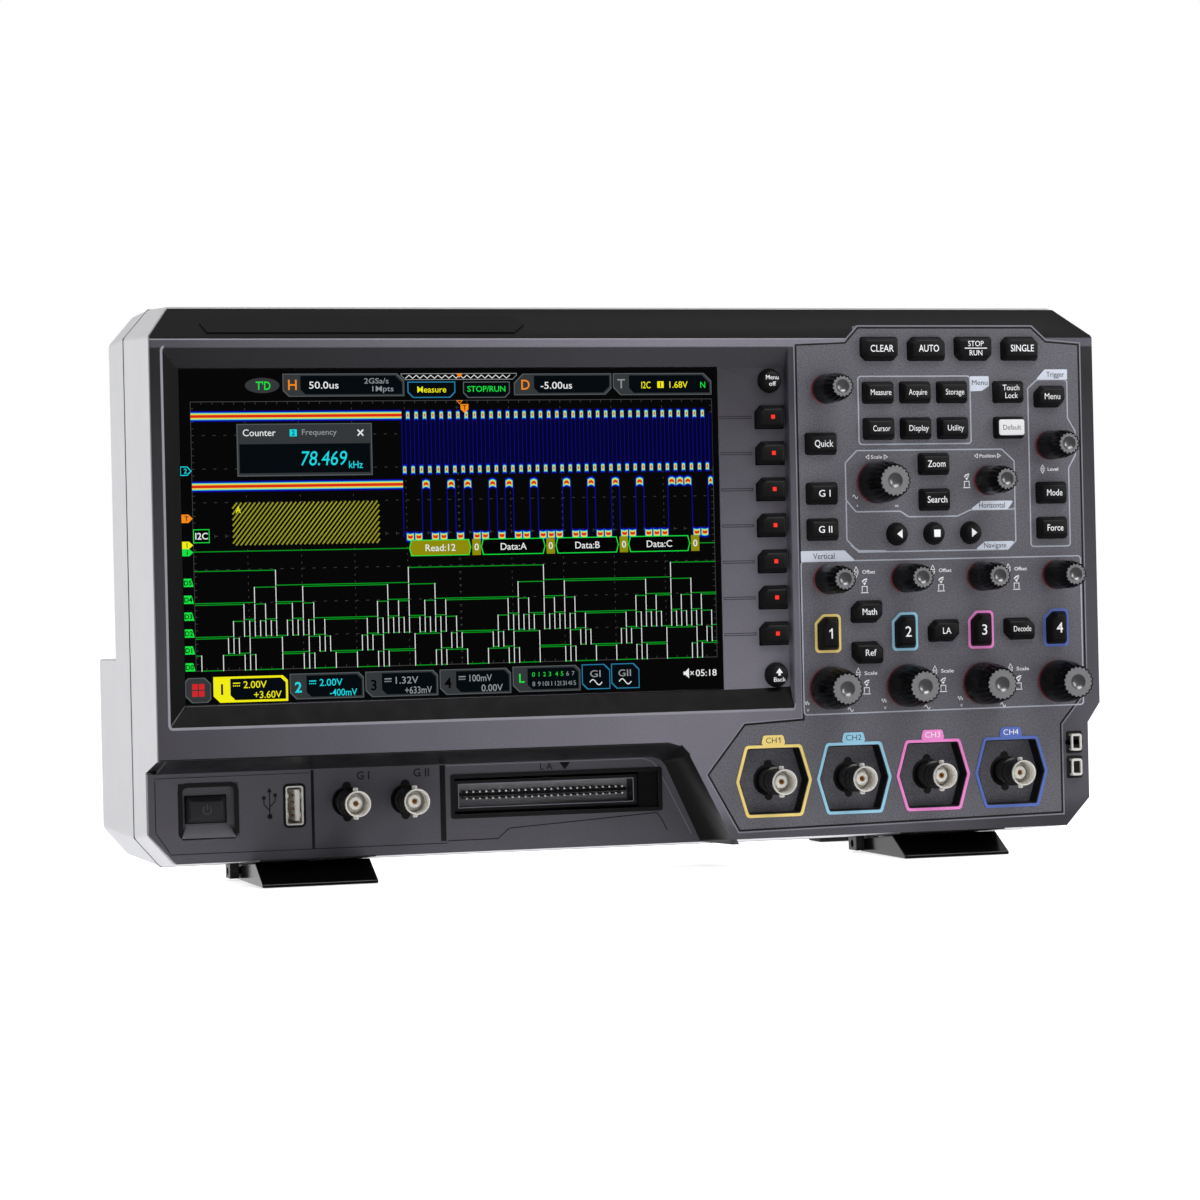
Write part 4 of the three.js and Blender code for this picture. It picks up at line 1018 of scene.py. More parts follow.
def hexagon(x):
    """Outline of the recess around a channel connector."""
    low, high = HEX_Z - HEX_HALF, HEX_Z + HEX_HALF
    return [(x - HEX_FLAT, low), (x + HEX_FLAT, low), (x + HEX_POINT, HEX_Z),
            (x + HEX_FLAT, high), (x - HEX_FLAT, high), (x - HEX_POINT, HEX_Z)]


def make_bnc(node, seat):
    """Bayonet connector: plated barrel with lugs, white insulator and a gilt contact."""
    x, z = centre_of(node)
    front = node_box(node)[0].y
    barrel = Shape()
    barrel.lathe(behind(front, [
        (0, 9), (4.12, 9), (4.12, 1.0), (4.3, 0.3), (4.42, 0), (4.66, 0), (4.8, 0.14), (4.8, 0.9),
        (4.8, 2.0), (4.62, 2.2), (4.62, 6.2), (4.85, 6.4), (4.85, 10.4), (5.3, 10.6), (5.3, 11.6),
        (4.85, 11.8)]) + [(4.85, seat + 0.4), (0, seat + 0.4)], x, z, 56)
    # The sides of the barrel behind its front rim take the darker nickel as painted shade, and the rim
    # keeps the bright nickel.
    for i, face in enumerate(barrel.faces):
        centre = sum((barrel.points[k] for k in face), Vector()) / len(face)
        if math.hypot(centre.x - x, centre.z - z) > 4.5 and centre.y > front + 0.9:
            barrel.slots[i] = 1
    for side in (-1, 1):
        lug = Shape()
        lug.lathe([(0, -5.85), (0.7, -5.85), (0.98, -5.6), (1.0, -4.4), (0, -4.4)], 0, 0, 18)
        # The lug's own axis runs along Y: it is laid over to point up or down from the barrel.
        laid = [(x + p.x, front + 4.0 + p.z * side, z - side * p.y) for p in lug.points]
        barrel.add(laid, lug.faces)
    barrel.box((x - 6.4, x + 6.4), (seat + 0.1, seat + 6), (z - 6.4, z + 6.4))
    barrel.stand_for(node, node + "_barrel", [NICKEL, SHADED_NICKEL], 38)
    inside = Shape()
    inside.lathe(behind(front, [
        (0, 6.4), (1.05, 6.4), (1.05, 4.0), (2.15, 4.0), (2.45, 4.3), (2.45, 7.6), (3.5, 7.8),
        (3.5, 8.98), (0, 8.98)]), x, z, 40)
    inside.build(node + "_insulator", [INSULATOR], BODY_OF[node], smooth=38)
    contact = Shape()
    contact.lathe(behind(front, [
        (0, 4.7), (0.32, 4.6), (0.55, 4.2), (0.78, 4.3), (0.78, 6.38), (0, 6.38)]), x, z, 24)
    contact.build(node + "_contact", [GOLD], BODY_OF[node], smooth=38)


def make_channel_frame(i):
    """Coloured ring around a recess, with its caption, and black painted shade on the walls of the
    recess.
    """
    x = centre_of(f"channel_bnc_{i + 1}")[0]
    inner = rounded(grow(hexagon(x), 0.15), 1.1)
    outer = rounded(grow(hexagon(x), 1.25), 1.6)
    ring = Shape()
    ring.band(inner, outer, -0.3, 0)
    tab = [(x - 4.9, 34.9), (x + 4.9, 34.9), (x + 3.9, 38.6), (x - 3.9, 38.6)]
    ring.plate(rounded(tab, 0.9), -0.32, 0)
    ring.build(f"channel_{i + 1}_frame", [CHANNEL_INKS[i]], slot="panel_plastic", smooth=30)
    caption = Shape()
    if i == 0:
        caption.words("CH", x - 0.8, CAPTION_Z, CAPTION_HEIGHT, CAPTION_Y, width=4.2, weight=-0.006)
        figure_one(caption, x + 2.5, CAPTION_Z, CAPTION_HEIGHT, CAPTION_Y)
    else:
        caption.words(f"CH{i + 1}", x, CAPTION_Z, CAPTION_HEIGHT, CAPTION_Y, width=6.2,
                      weight=-0.006)
    caption.build(f"channel_{i + 1}_caption", [LEGEND if i > 1 else DARK_INK], slot="panel_plastic")
    # Black moulding around the keyhole in the floor of the recess, and black painted shade on its
    # walls.
    seat = Shape()
    hole = circle(x, BNC_Z, 6.0, 40)
    seat.band(circle(x, BNC_Z, 5.0, 40), hole, HEX_DEPTH - 0.25, HEX_DEPTH)
    for side in (-1, 1):
        seat.plate(circle(x, BNC_Z + side * 6.1, 1.5, 20), HEX_DEPTH - 0.28, HEX_DEPTH)
    seat.build(f"channel_{i + 1}_keyhole", [SHADOW], slot="panel_plastic", smooth=30)
    wall_shade = Shape()
    wall = rounded(grow(hexagon(x), -0.02), 0.6)
    wall_shade.band(rounded(grow(hexagon(x), -0.3), 0.9), wall, 0.25, HEX_DEPTH)
    wall_shade.build(f"channel_{i + 1}_lining", [SHADOW], slot="panel_plastic")


for i in range(4):
    make_bnc(f"channel_bnc_{i + 1}", CHANNEL_SEAT)
    make_channel_frame(i)
for i in range(2):
    make_bnc(f"generator_bnc_{i + 1}", GENERATOR_SEAT)


def make_probe_terminals():
    """Two formed straps that a probe's tip and its earth clip hook onto."""
    centres = []
    for i in (1, 2):
        node = f"probe_terminal_{i}"
        x, z = centre_of(node)
        front = node_box(node)[0].y
        centres.append((x, z))
        strap = Shape()
        inner, outer = rounded(rectangle(x, z, 2.9, 4.9), 0.5), rounded(rectangle(x, z, 4.3, 6.5), 0.9)
        strap.band(inner, outer, front, front + 1.0)
        for side in (-1, 1):
            strap.plate(rounded(rectangle(x, z + side * 2.75, 4.0, 0.9), 0.3), front + 0.8, 9)
        strap.stand_for(node, node + "_strap", [NICKEL], 32)
        slot_shape = Shape()
        slot_shape.plate(rounded(rectangle(x, z, 6.6, 8.6), 0.8), -0.03, 0.1)
        slot_shape.build(f"probe_slot_{i}", [SHADOW], slot="dark_plastic")
    (left, z), (right, _) = centres
    bar = Shape()
    middle_x = (left + right) / 2
    bar.plate(rounded(rectangle(middle_x, z, abs(right - left) - 7.4, 1.9), 0.5), -0.03, 0.1)
    bar.build("probe_bar", [SHADOW], slot="dark_plastic")


make_probe_terminals()

# ---- lower left strip ------------------------------------------------------------------------
STRIP = STRIP_Y - 0.03          # just in front of the strip's face
PIN_PITCH = 2.54
ENGRAVED = ink("engraved_grey", linear(74, 74, 80))
# Painted light on the sloping lip below the power key, which faces up.
LIT_LIP = ink("lip_painted_light", linear(104, 104, 110), 0.45)


def make_power_key():
    """The power key with its sign, in a well in the strip, whose top and side walls carry black painted
    shade and whose sloping lip carries painted light.
    """
    node = "power_key"
    back = node_box(node)[1].y
    x, z = -162.0, 17.6
    key = Shape()
    face = STRIP_Y + 2.5
    outline = rectangle(x, z, 15, 9.8)
    sections = [(-KEY_RISE, 2.1), (-3.45, 1.75), (-3.1, 1.5), (-1.0, 0.35), (-0.4, 0.05), (0.5, 0.0)]
    key.loft([(face + depth, rounded(grow(outline, -inset), 0.7)) for depth, inset in sections]
             + [(back, rounded(outline, 0.7))])
    key.plate(grow(outline, 0.9), back - 1, back - 0.01)
    key.stand_for(node, "power_key_cap", [POWER], 32)
    sign = Shape()
    front = face - KEY_RISE
    arc = [(x + 1.55 * math.sin(a), z - 0.15 + 1.55 * math.cos(a))
           for a in (math.radians(40 + 280 * i / 20) for i in range(21))]
    sign.line(arc, 0.34, front - INK, front)
    sign.line([(x, z + 0.1), (x, z + 1.9)], 0.34, front - INK, front)
    sign.build("power_key_sign", [ENGRAVED], BODY_OF[node], SLOT_OF[node])
    # Black painted shade on the top and side walls of the well.
    well = Shape()
    well.line([(-171.7, 8.5), (-171.7, 24.4), (-171.1, 25.9), (-169.6, 26.6), (-153, 26.6),
               (-151.5, 25.9), (-150.9, 24.4), (-150.9, 8.5)], 1.7, STRIP_Y - 0.12, STRIP_Y + 0.5)
    well.build("power_well_wall_shade", [BLACK], slot="dark_plastic", smooth=30)
    # The sloping lip below the key is lighter: painted light.
    lip = Shape()
    corners = [(-171.4, 7.2), (-151.2, 7.2), (-153.4, 11.9), (-169.2, 11.9)]
    front_depths, back_depths = (0.1, 0.1, 2.45, 2.45), (2.49, 2.49, 2.49, 2.49)
    lip.add([(px, STRIP_Y + depth, pz) for depths in (front_depths, back_depths)
             for (px, pz), depth in zip(corners, depths)],
            [(0, 1, 2, 3), (7, 6, 5, 4), (0, 4, 5, 1), (1, 5, 6, 2), (2, 6, 7, 3), (3, 7, 4, 0)])
    lip.build("power_well_lip", [LIT_LIP], slot="dark_plastic")


def make_usb_port():
    """Plated shell with its springs, white tongue, contacts and the dark gap around it."""
    node = "usb_port"
    low, high = node_box(node)
    x, z = centre_of(node)
    width, height = high.x - low.x, high.z - low.z
    shell = Shape()
    outside = rounded(rectangle(x, z, width, height), 0.9)
    inside = rounded(grow(rectangle(x, z, width, height), -0.55), 0.6)
    shell.band(inside, outside, low.y, high.y - 1.5)
    shell.plate(outside, high.y - 1.5, high.y)
    for side in (-1, 1):
        for dz in (-3.6, 3.6):
            spring = [(x + side * 2.6, z + dz - 1.1), (x + side * 2.6, z + dz + 1.1),
                      (x + side * 1.95, z + dz + 0.7), (x + side * 1.95, z + dz - 0.7)]
            shell.plate(spring, STRIP_Y + 1.2, STRIP_Y + 5)
    shell.stand_for(node, "usb_shell", [NICKEL], 32)
    tongue = Shape()
    tongue.loft([(STRIP_Y + 0.9, rectangle(x + 1.35, z, 1.3, height - 3.4)),
                 (STRIP_Y + 1.3, rectangle(x + 1.35, z, 1.9, height - 2.8)),
                 (high.y - 1.6, rectangle(x + 1.35, z, 1.9, height - 2.8))])
    tongue.build("usb_tongue", [INSULATOR], smooth=30)
    contacts = Shape()
    for i in range(4):
        low_z = z - 4.4 + 2.5 * i
        contacts.box((x + 0.3, x + 0.38), (STRIP_Y + 2.0, STRIP_Y + 8), (low_z, low_z + 1))
    contacts.build("usb_contacts", [GOLD])
    gap = Shape()
    gap.band(rounded(outside, 0.9), rounded(grow(outside, 0.95), 1.0), STRIP_Y - 0.1, STRIP_Y)
    gap.build("usb_gap", [SHADOW], slot="dark_plastic")


def make_strip_marks():
    """Signs engraved in the strip, and its grooves and seams."""
    marks = Shape()
    x, z = -138.6, 19.6
    marks.line([(x, z - 5.2), (x, z + 3.4)], 0.42, STRIP, STRIP_Y)
    marks.plate([(x, z + 5.2), (x - 0.95, z + 3.4), (x + 0.95, z + 3.4)], STRIP, STRIP_Y)
    marks.plate(circle(x, z - 5.5, 0.95, 20), STRIP, STRIP_Y)
    marks.line([(x, z - 3.2), (x - 2.1, z - 1.1), (x - 2.1, z + 1.0)], 0.42, STRIP, STRIP_Y)
    marks.plate(circle(x - 2.1, z + 1.4, 0.75, 18), STRIP - 0.005, STRIP_Y)
    marks.line([(x, z - 2.0), (x + 2.1, z + 0.1), (x + 2.1, z + 1.8)], 0.42, STRIP, STRIP_Y)
    marks.plate(rectangle(x + 2.1, z + 2.3, 1.3, 1.3), STRIP - 0.005, STRIP_Y)
    marks.words("G I", -103.2, 28.0, 2.9, STRIP_Y, width=4.8, weight=0.01)
    marks.words("G II", -81.0, 28.3, 2.9, STRIP_Y, width=6.0, weight=0.01)
    marks.words("L A", -32.8, 28.9, 2.4, STRIP_Y, width=4.8, weight=0.005)
    marks.plate([(-25.4, 27.4), (-23.2, 30.3), (-27.6, 30.3)], STRIP, STRIP_Y)
    marks.build("strip_engraving", [SHADOW], slot="dark_plastic")

    grooves = Shape()
    grooves.box((-123.0, -121.9), (STRIP_Y - 0.04, STRIP_Y), (1.5, STRIP_TOP - 0.4))
    grooves.box((-74.0, -71.9), (STRIP_Y - 0.04, STRIP_Y), (2.4, STRIP_TOP - 0.4))
    seam = [(-71.5, 2.4), (-52, 2.5), (-47.5, 6.2), (-14.6, 8.2), (10.5, 9.8), (12.6, 7.0), (14.6, 2.9)]
    grooves.line(seam, 0.35, STRIP, STRIP_Y)
    grooves.line([(-180.9, 28.6), (-180.9, 9.6), (-175.4, 1.5), (-71.5, 1.6)], 0.28, STRIP, STRIP_Y)
    grooves.line([(-181.2, 29.4), (-123.6, 29.7)], 0.22, STRIP, STRIP_Y)
    grooves.build("strip_grooves", [SHADOW], slot="dark_plastic")
    # A painted highlight along the upper and right edges of the strip.
    lit_edge = Shape()
    lit_edge.line([(-71.5, 30.4), (5.4, 30.5), (9.2, 29.2), (11.2, 26.8), (24.2, 1.2)], 0.3, STRIP,
                  STRIP_Y)
    lit_edge.build("strip_lit_edge", [LIT], slot="dark_plastic")


def make_logic_port():
    """Keyed header with two rows of 25 pins, in its slot in the strip."""
    node = "logic_port"
    low, high = node_box(node)
    x, z = centre_of(node)
    width, height = high.x - low.x, high.z - low.z
    front, back = low.y, high.y
    header = Shape()
    outside, mouth = rectangle(x, z, width, height), rectangle(x, z, width - 3, height - 2.6)
    header.band(mouth, outside, front, front + 8.6)
    header.plate(grow(outside, -0.01), front + 8.5, back, 1)
    # A painted highlight round the mouth of the header.
    header.outline(mouth, 0.3, front - 0.03, front + 0.1, 2)
    header.box((x - 33.4, x + 33.4), (front + 6.4, front + 8.6), (z - 0.55, z + 0.55))
    header.stand_for(node, "logic_header", [BLACK, SHROUD, LIT])
    key = Shape()
    top = z + height / 2
    key.box((x - 2.2, x + 2.2), (front - 0.02, front + 0.3), (top - 1.3, top + 0.3))
    key.build("logic_key_slot", [SHADOW])
    pins = Shape()
    for column in range(25):
        for row in (-0.5, 0.5):
            px, pz = x + (column - 12) * PIN_PITCH, z + row * PIN_PITCH
            tip = rectangle(px, pz, 0.5, 0.5)
            stem = rectangle(px, pz, 0.64, 0.64)
            # Each pin's stem takes the nickel in painted shade, and its tip a bright painted highlight.
            pins.loft([(front + 2.5, stem), (front + 8.7, stem)])
            pins.loft([(front + 2.0, tip), (front + 2.49, stem)], 1)
    pins.build("logic_pins", [SHADED_NICKEL, PIN_GLINT], smooth=20)
    rim = Shape()
    slot_outline = rectangle(-28.5, 18.8, 79.8, 13.6)
    inner, outer = rounded(grow(slot_outline, 0.05), 0.4), rounded(grow(slot_outline, 1.5), 1.0)
    rim.band(inner, outer, STRIP_Y - 0.25, STRIP_Y)
    rim.build("logic_slot_rim", [BLACK], slot="dark_plastic", smooth=30)
    side = Shape()
    side.box((x + width / 2 + 0.3, 11.3), (STRIP_Y + 1.0, STRIP_Y + 3), (12.2, 25.4))
    side.build("logic_slot_side", [SHADOW])


def make_generator_keyholes():
    """Dark edges of the holes that the generator connectors come through."""
    for i in (1, 2):
        x, z = centre_of(f"generator_bnc_{i}")
        holes = Shape()
        holes.band(circle(x, z, 5.0, 40), circle(x, z, 5.7, 40), STRIP_Y - 0.06, STRIP_Y)
        for side in (-1, 1):
            holes.plate(circle(x, z + side * 5.7, 1.7, 20), STRIP_Y - 0.05, STRIP_Y)
        holes.build(f"generator_keyhole_{i}", [SHADOW], slot="dark_plastic")


make_power_key()
make_usb_port()
make_strip_marks()
make_logic_port()
make_generator_keyholes()

# ---- soft keys and the top of the front ------------------------------------------------------
SOFT_KEY_X = 52
SOFT_KEY_Z = [158.4 - 13.6 * i for i in range(7)]
SOFT_KEY_FLANGE = 7.4
SOFT_KEY_FRONT = SCREEN_FLOOR - KEY_RISE
SLOPE_RUN, SLOPE_RISE = 15.4, 12.0              # of the slope above the face


def make_soft_keys():
    """The keys beside the screen with their lamps and ticks, and the round keys over and under them."""
    node = "soft_keys"
    keys, lamps, ticks = Shape(), Shape(), Shape()
    for z in SOFT_KEY_Z:
        key_body(keys, rectangle(SOFT_KEY_X, z, 11.2, 8.4, {"tl": 2.2}), SCREEN_FLOOR, SOFT_KEY_FLANGE)
        lamps.plate(rectangle(52.3, z, 1.5, 1.5), SOFT_KEY_FRONT - INK, SOFT_KEY_FRONT)
        ticks.outline(rectangle(38.6, z, 12.4, 0.8), 0.22, SCREEN_FLOOR - INK, SCREEN_FLOOR)
    keys.stand_for(node, "soft_key_caps", [RUBBER], 32)
    lamps.build("soft_key_lamps", [LED_RED], BODY_OF[node])
    ticks.build("soft_key_ticks", [SHADOW], slot="dark_plastic")
    for node, spot, radius in (("menu_off_key", (52.3, 172.2), 4.4), ("back_key", (52.6, 61.2), 4.5)):
        cap, sign = Shape(), Shape()
        outline = circle(*spot, radius, CIRCLE_STEPS)
        key_body(cap, outline, SCREEN_FLOOR, SOFT_KEY_FLANGE, round_corners=False)
        cap.stand_for(node, node + "_cap", [RUBBER], 32)
        x, z = spot
        y = SOFT_KEY_FRONT
        if node == "menu_off_key":
            sign.words("Menu", x, z + 1.1, 1.6, y, width=5.0, weight=0.006)
            sign.words("off", x, z - 1.3, 1.6, y, width=2.7, weight=0.006)
        else:
            sign.plate([(x - 1.4, z + 0.7), (x + 1.4, z + 0.7), (x, z + 2.6)], y - INK, y)
            sign.plate(rectangle(x, z + 0.25, 1.0, 1.0), y - INK, y)
            sign.words("Back", x, z - 1.7, 1.6, y, width=4.8, weight=0.006)
        sign.build(node + "_sign", [LEGEND], BODY_OF[node])


def slope_spot(x, along, proud=0.0):
    """A point on the slope above the face, at a distance along it from its lower edge."""
    length = math.hypot(SLOPE_RUN, SLOPE_RISE)
    y = along * SLOPE_RUN / length - proud * SLOPE_RISE / length
    z = FRONT_TOP + along * SLOPE_RISE / length + proud * SLOPE_RUN / length
    return (x, y, z)


def make_name_plate():
    """A blank raised plate with pointed ends on the slope, where a name would be."""
    outline = [(-162, 3.5), (-163.9, 9.4), (-160.6, 14.6), (-47, 14.6), (-42.4, 8.8), (-47.4, 3.5)]
    plate = Shape()
    count = len(outline)
    ring = [slope_spot(x, along, height) for height in (0.35, -0.4) for x, along in outline]
    faces = [list(range(count)), list(range(2 * count - 1, count - 1, -1))]
    faces += [[i, count + i, count + (i + 1) % count, (i + 1) % count] for i in range(count)]
    plate.add(ring, [face[::-1] for face in faces])
    # The plate takes the painted shade of the slope.
    plate.build("blank_plate", [SHADED_SLOPE], slot="dark_plastic")


make_soft_keys()
make_name_plate()


# ---- picture on the display ------------------------------------------------------------------
# The picture is drawn in its own dots, 1024 wide and 600 high, from the top left corner.
DOT = 0.1985
PICTURE_LEFT, PICTURE_TOP = -171.9, 176.2
GLASS_FRONT = face_mm(GLASS_LOW).y
LAYER = 0.022                   # thickness of one layer, in millimetres
GRID_LEFT, GRID_TOP, CELL_WIDE, CELL_HIGH = 17.3, 54.0, 99.6, 61.0
GRID_RIGHT, GRID_LOW = GRID_LEFT + 10 * CELL_WIDE, GRID_TOP + 8 * CELL_HIGH
TICK_WIDE, TICK_HIGH = CELL_WIDE / 5, CELL_HIGH / 5

SHADES = {
    "white": (232, 234, 234), "grey": (142, 146, 148), "green": (22, 226, 66),
    "trace": (10, 150, 34), "yellow": (240, 236, 20), "hatch": (150, 150, 34), "cyan": (28, 216, 226),
    "orange": (244, 138, 24), "red": (216, 44, 20), "tile": (206, 38, 40), "blue": (12, 10, 160),
    "navy": (3, 3, 40), "sky": (60, 200, 214), "gold": (226, 214, 70), "olive": (140, 138, 8),
    "frame": (84, 90, 92), "plate": (52, 55, 57), "grid": (62, 64, 62), "edge": (40, 128, 168),
    "deep": (3, 9, 13), "off": (1, 1, 1)}
INKS = {name: glow("picture_" + name, linear(*colour)) for name, colour in SHADES.items()}
SLOTS = list(INKS)


class Picture(Shape):
    """Slabs as thin as ink that stand in layers on the glass."""

    def spot(self, u, v):
        return PICTURE_LEFT + u * DOT, PICTURE_TOP - v * DOT

    def poly(self, points, layer, ink_name):
        front = GLASS_FRONT - LAYER * layer
        self.plate([self.spot(*p) for p in points], front, GLASS_FRONT, SLOTS.index(ink_name))

    def bar(self, u, v, wide, high, layer, ink_name):
        self.poly([(u, v), (u + wide, v), (u + wide, v + high), (u, v + high)], layer, ink_name)

    def route(self, points, wide, layer, ink_name):
        front = GLASS_FRONT - LAYER * layer
        self.line([self.spot(*p) for p in points], wide * DOT, front, GLASS_FRONT,
                  SLOTS.index(ink_name))

    def write(self, text, u, v, high, layer, ink_name, wide=None, weight=0.004, lean=0.0):
        """Capitals of that height, with the middle of the text at (u, v)."""
        x, z = self.spot(u, v)
        width = wide * DOT if wide else None
        self.words(text, x, z, high * DOT, GLASS_FRONT - LAYER * (layer - 1), SLOTS.index(ink_name),
                   width, weight=weight, lean=lean, thick=LAYER)

    def cut_box(self, u, v, wide, high, cuts, layer, ink_name):
        """A box with some corners cut off: cuts gives the size at tl, tr, br and bl."""
        points = []
        for name, x, y, sx, sy in (("tl", u, v, 1, 1), ("tr", u + wide, v, -1, 1),
                                   ("br", u + wide, v + high, -1, -1), ("bl", u, v + high, 1, -1)):
            size = cuts.get(name, 0)
            ends = [(x, y + sy * size), (x + sx * size, y)] if size else [(x, y)]
            points += ends if name in ("tl", "br") else ends[::-1]
        self.poly(points, layer, ink_name)


def read_out(picture, u, v, wide, high, lead, cuts, tone="frame", fill="plate"):
    """A framed field: a rim, a plate under its letter and a dark field beside it."""
    picture.cut_box(u, v, wide, high, cuts, 2, tone)
    picture.cut_box(u + 1.5, v + 1.5, wide - 3, high - 3, cuts, 3, fill)
    inner = {name: size for name, size in cuts.items() if name in ("tr", "br")}
    inner["bl"] = 9
    picture.cut_box(u + lead, v + 4, wide - lead - 4, high - 8, inner, 4, "deep")


def draw_grid(picture):
    """Dotted lines between the cells, solid ones around them, and ticks at every fifth of a cell."""
    for i in range(11):
        u = GRID_LEFT + i * CELL_WIDE
        solid = i in (0, 10)
        for k in range(40):
            high = TICK_HIGH if solid else 3.4
            picture.bar(u - 0.5, GRID_TOP + k * TICK_HIGH, 1.0, high, 1, "grid")
    for j in range(9):
        v = GRID_TOP + j * CELL_HIGH
        if j in (0, 8):
            picture.bar(GRID_LEFT, v - 0.6, GRID_RIGHT - GRID_LEFT, 1.2, 1, "grid")
            continue
        for k in range(50):
            picture.bar(GRID_LEFT + k * TICK_WIDE, v - 0.5, 5.4, 1.0, 1, "grid")
    for k in range(1, 50):
        u = GRID_LEFT + k * TICK_WIDE
        for v, high in ((GRID_TOP, 5), (GRID_LOW - 5, 5), (GRID_TOP + 4 * CELL_HIGH - 3, 6)):
            picture.bar(u - 0.5, v, 1.0, high, 1, "grid")
    for k in range(1, 40):
        v = GRID_TOP + k * TICK_HIGH
        for u in (GRID_LEFT, GRID_LEFT + 5 * CELL_WIDE - 2.5, GRID_RIGHT - 5):
            picture.bar(u, v - 0.5, 5, 1.0, 1, "grid")


HEAT = (("blue", 9.6), ("sky", 6.6), ("gold", 5.0), ("red", 2.6))      # colour and half height


def heat_band(picture, u, v, wide):
    """A level stretch of a stored trace, hot in its middle."""
    for layer, (tone, half) in enumerate(HEAT):
        end = 1.2 * layer if wide < 60 else 0
        picture.bar(u + end, v - half, wide - 2 * end, 2 * half, 3 + layer, tone)


def heat_arc(picture, u, v, wide, bow):
    """A short pulse top or bottom, which rises or falls towards its middle."""
    for layer, (tone, half) in enumerate(HEAT):
        over, under = [], []
        inset = 1.1 * layer
        for k in range(7):
            along = k / 6
            drop = bow * (2 * along - 1) ** 2
            across = u + inset + (wide - 2 * inset) * along
            over.append((across, v + drop - half))
            under.append((across, v + drop + half))
        picture.poly(over + under[::-1], 3 + layer, tone)


CLOCK_START, CLOCK_STEP = 413.9, 15.9
CLOCK_HIGH, CLOCK_LOW, DATA_HIGH, DATA_LOW = 80.5, 181.0, 208.0, 306.0
DATA_BITS = (2, 5, 7, 10, 12, 15, 19, 22, 25, 28, 32, 33, 34, 37)


def draw_serial(picture):
    """A clock and its data: at rest on the left, then bit after bit."""
    idle = CLOCK_START - GRID_LEFT - 4
    heat_band(picture, GRID_LEFT, CLOCK_HIGH, idle)
    heat_band(picture, GRID_LEFT, DATA_HIGH, idle)
    count = int((GRID_RIGHT - CLOCK_START) / CLOCK_STEP)
    picture.bar(CLOCK_START - 4, CLOCK_HIGH, GRID_RIGHT - CLOCK_START + 4, CLOCK_LOW - CLOCK_HIGH,
                2, "navy")
    for k in range(count + 1):
        u = CLOCK_START + k * CLOCK_STEP
        heat_arc(picture, u - 4.4, CLOCK_LOW, 8.8, 0.8)
        for edge in (u - 4, u + 4):
            picture.bar(edge - 0.4, CLOCK_HIGH, 0.8, CLOCK_LOW - CLOCK_HIGH, 3, "blue")
        if k < count:
            heat_arc(picture, u + 3.6, CLOCK_HIGH, 8.8, 1.4)
    level = False
    picture.bar(CLOCK_START - 4.6, DATA_HIGH, 1.2, DATA_LOW - DATA_HIGH, 3, "blue")
    for k in range(count + 1):
        u = CLOCK_START + k * CLOCK_STEP
        wide = min(CLOCK_STEP, GRID_RIGHT - u)
        bit = k in DATA_BITS
        if bit != level:
            picture.bar(u - 0.6, DATA_HIGH, 1.2, DATA_LOW - DATA_HIGH, 3, "blue")
        level = bit
        heat_arc(picture, u, DATA_HIGH - 1 if bit else DATA_LOW, wide, 3.0 if bit else -1.5)


SAMPLES, SAMPLE_STEP = 100, 9.96
WAVE_PERIOD, WAVE_START = 50, 40
FLIPPED = 0b010101             # lines that show their bit upside down


def draw_logic_rows(picture):
    """Six lines of a counter that follows a sine wave, the highest bit on top."""
    values = [int(32 + 31.6 * math.sin(2 * math.pi * (k - WAVE_START) / WAVE_PERIOD))
              for k in range(SAMPLES)]
    for row in range(6):
        bit = 5 - row
        low = GRID_TOP + 335 + 30.6 * row
        high = low - 27.5
        levels = [(value ^ FLIPPED) >> bit & 1 for value in values]
        start = 0
        for k in range(1, SAMPLES + 1):
            if k < SAMPLES and levels[k] == levels[start]:
                continue
            v = high if levels[start] else low
            left = GRID_LEFT + 0.7 + start * SAMPLE_STEP
            picture.bar(left, v - 0.8, (k - start) * SAMPLE_STEP, 1.6, 3, "trace")
            if k < SAMPLES:
                edge = GRID_LEFT + 0.7 + k * SAMPLE_STEP
                picture.bar(edge - 0.65, high - 0.8, 1.3, low - high + 1.6, 4, "white")
            start = k
        picture.poly([(-2, low - 15), (12, low - 15), (16, low), (-2, low)], 3, "green")
        picture.write("D" + str(bit), 5.4, low - 7.2, 8.4, 4, "off", weight=0.02)


def draw_decode_row(picture):
    """What the serial lines carry: an address, then data, with a bit between them."""
    middle_v, half = 326.0, 15.0
    picture.bar(GRID_LEFT, middle_v - 0.8, GRID_RIGHT - GRID_LEFT, 1.6, 3, "trace")
    fields = ((419.0, 537.0, "Read:12"), (556.0, 680.0, "Data:A"), (700.0, 823.0, "Data:B"),
              (842.0, 964.0, "Data:C"))
    for i, (left, right, text) in enumerate(fields):
        for inset, layer, tone in ((0, 8, "green"), (1.6, 9, "off" if i else "olive")):
            points = [(left + inset, middle_v), (left + 3.6 + inset, middle_v - half + inset),
                      (right - 3.6 - inset, middle_v - half + inset), (right - inset, middle_v),
                      (right - 3.6 - inset, middle_v + half - inset),
                      (left + 3.6 + inset, middle_v + half - inset)]
            picture.poly(points, layer, tone)
        picture.write(text, (left + right) / 2, middle_v, 12.4, 10, "white", weight=0.004)
        picture.bar(right + 2.4, middle_v - half, 16.0, 2 * half, 8, "olive")
        picture.write("0", right + 10.4, middle_v, 12.4, 10, "white", weight=0.004)
    picture.bar(GRID_LEFT, middle_v - 41, 30, 25, 8, "green")
    picture.bar(GRID_LEFT + 1.4, middle_v - 39.6, 27.2, 22.2, 9, "off")
    picture.write("I2C", GRID_LEFT + 15, middle_v - 28.5, 11.6, 10, "white", weight=0.012)


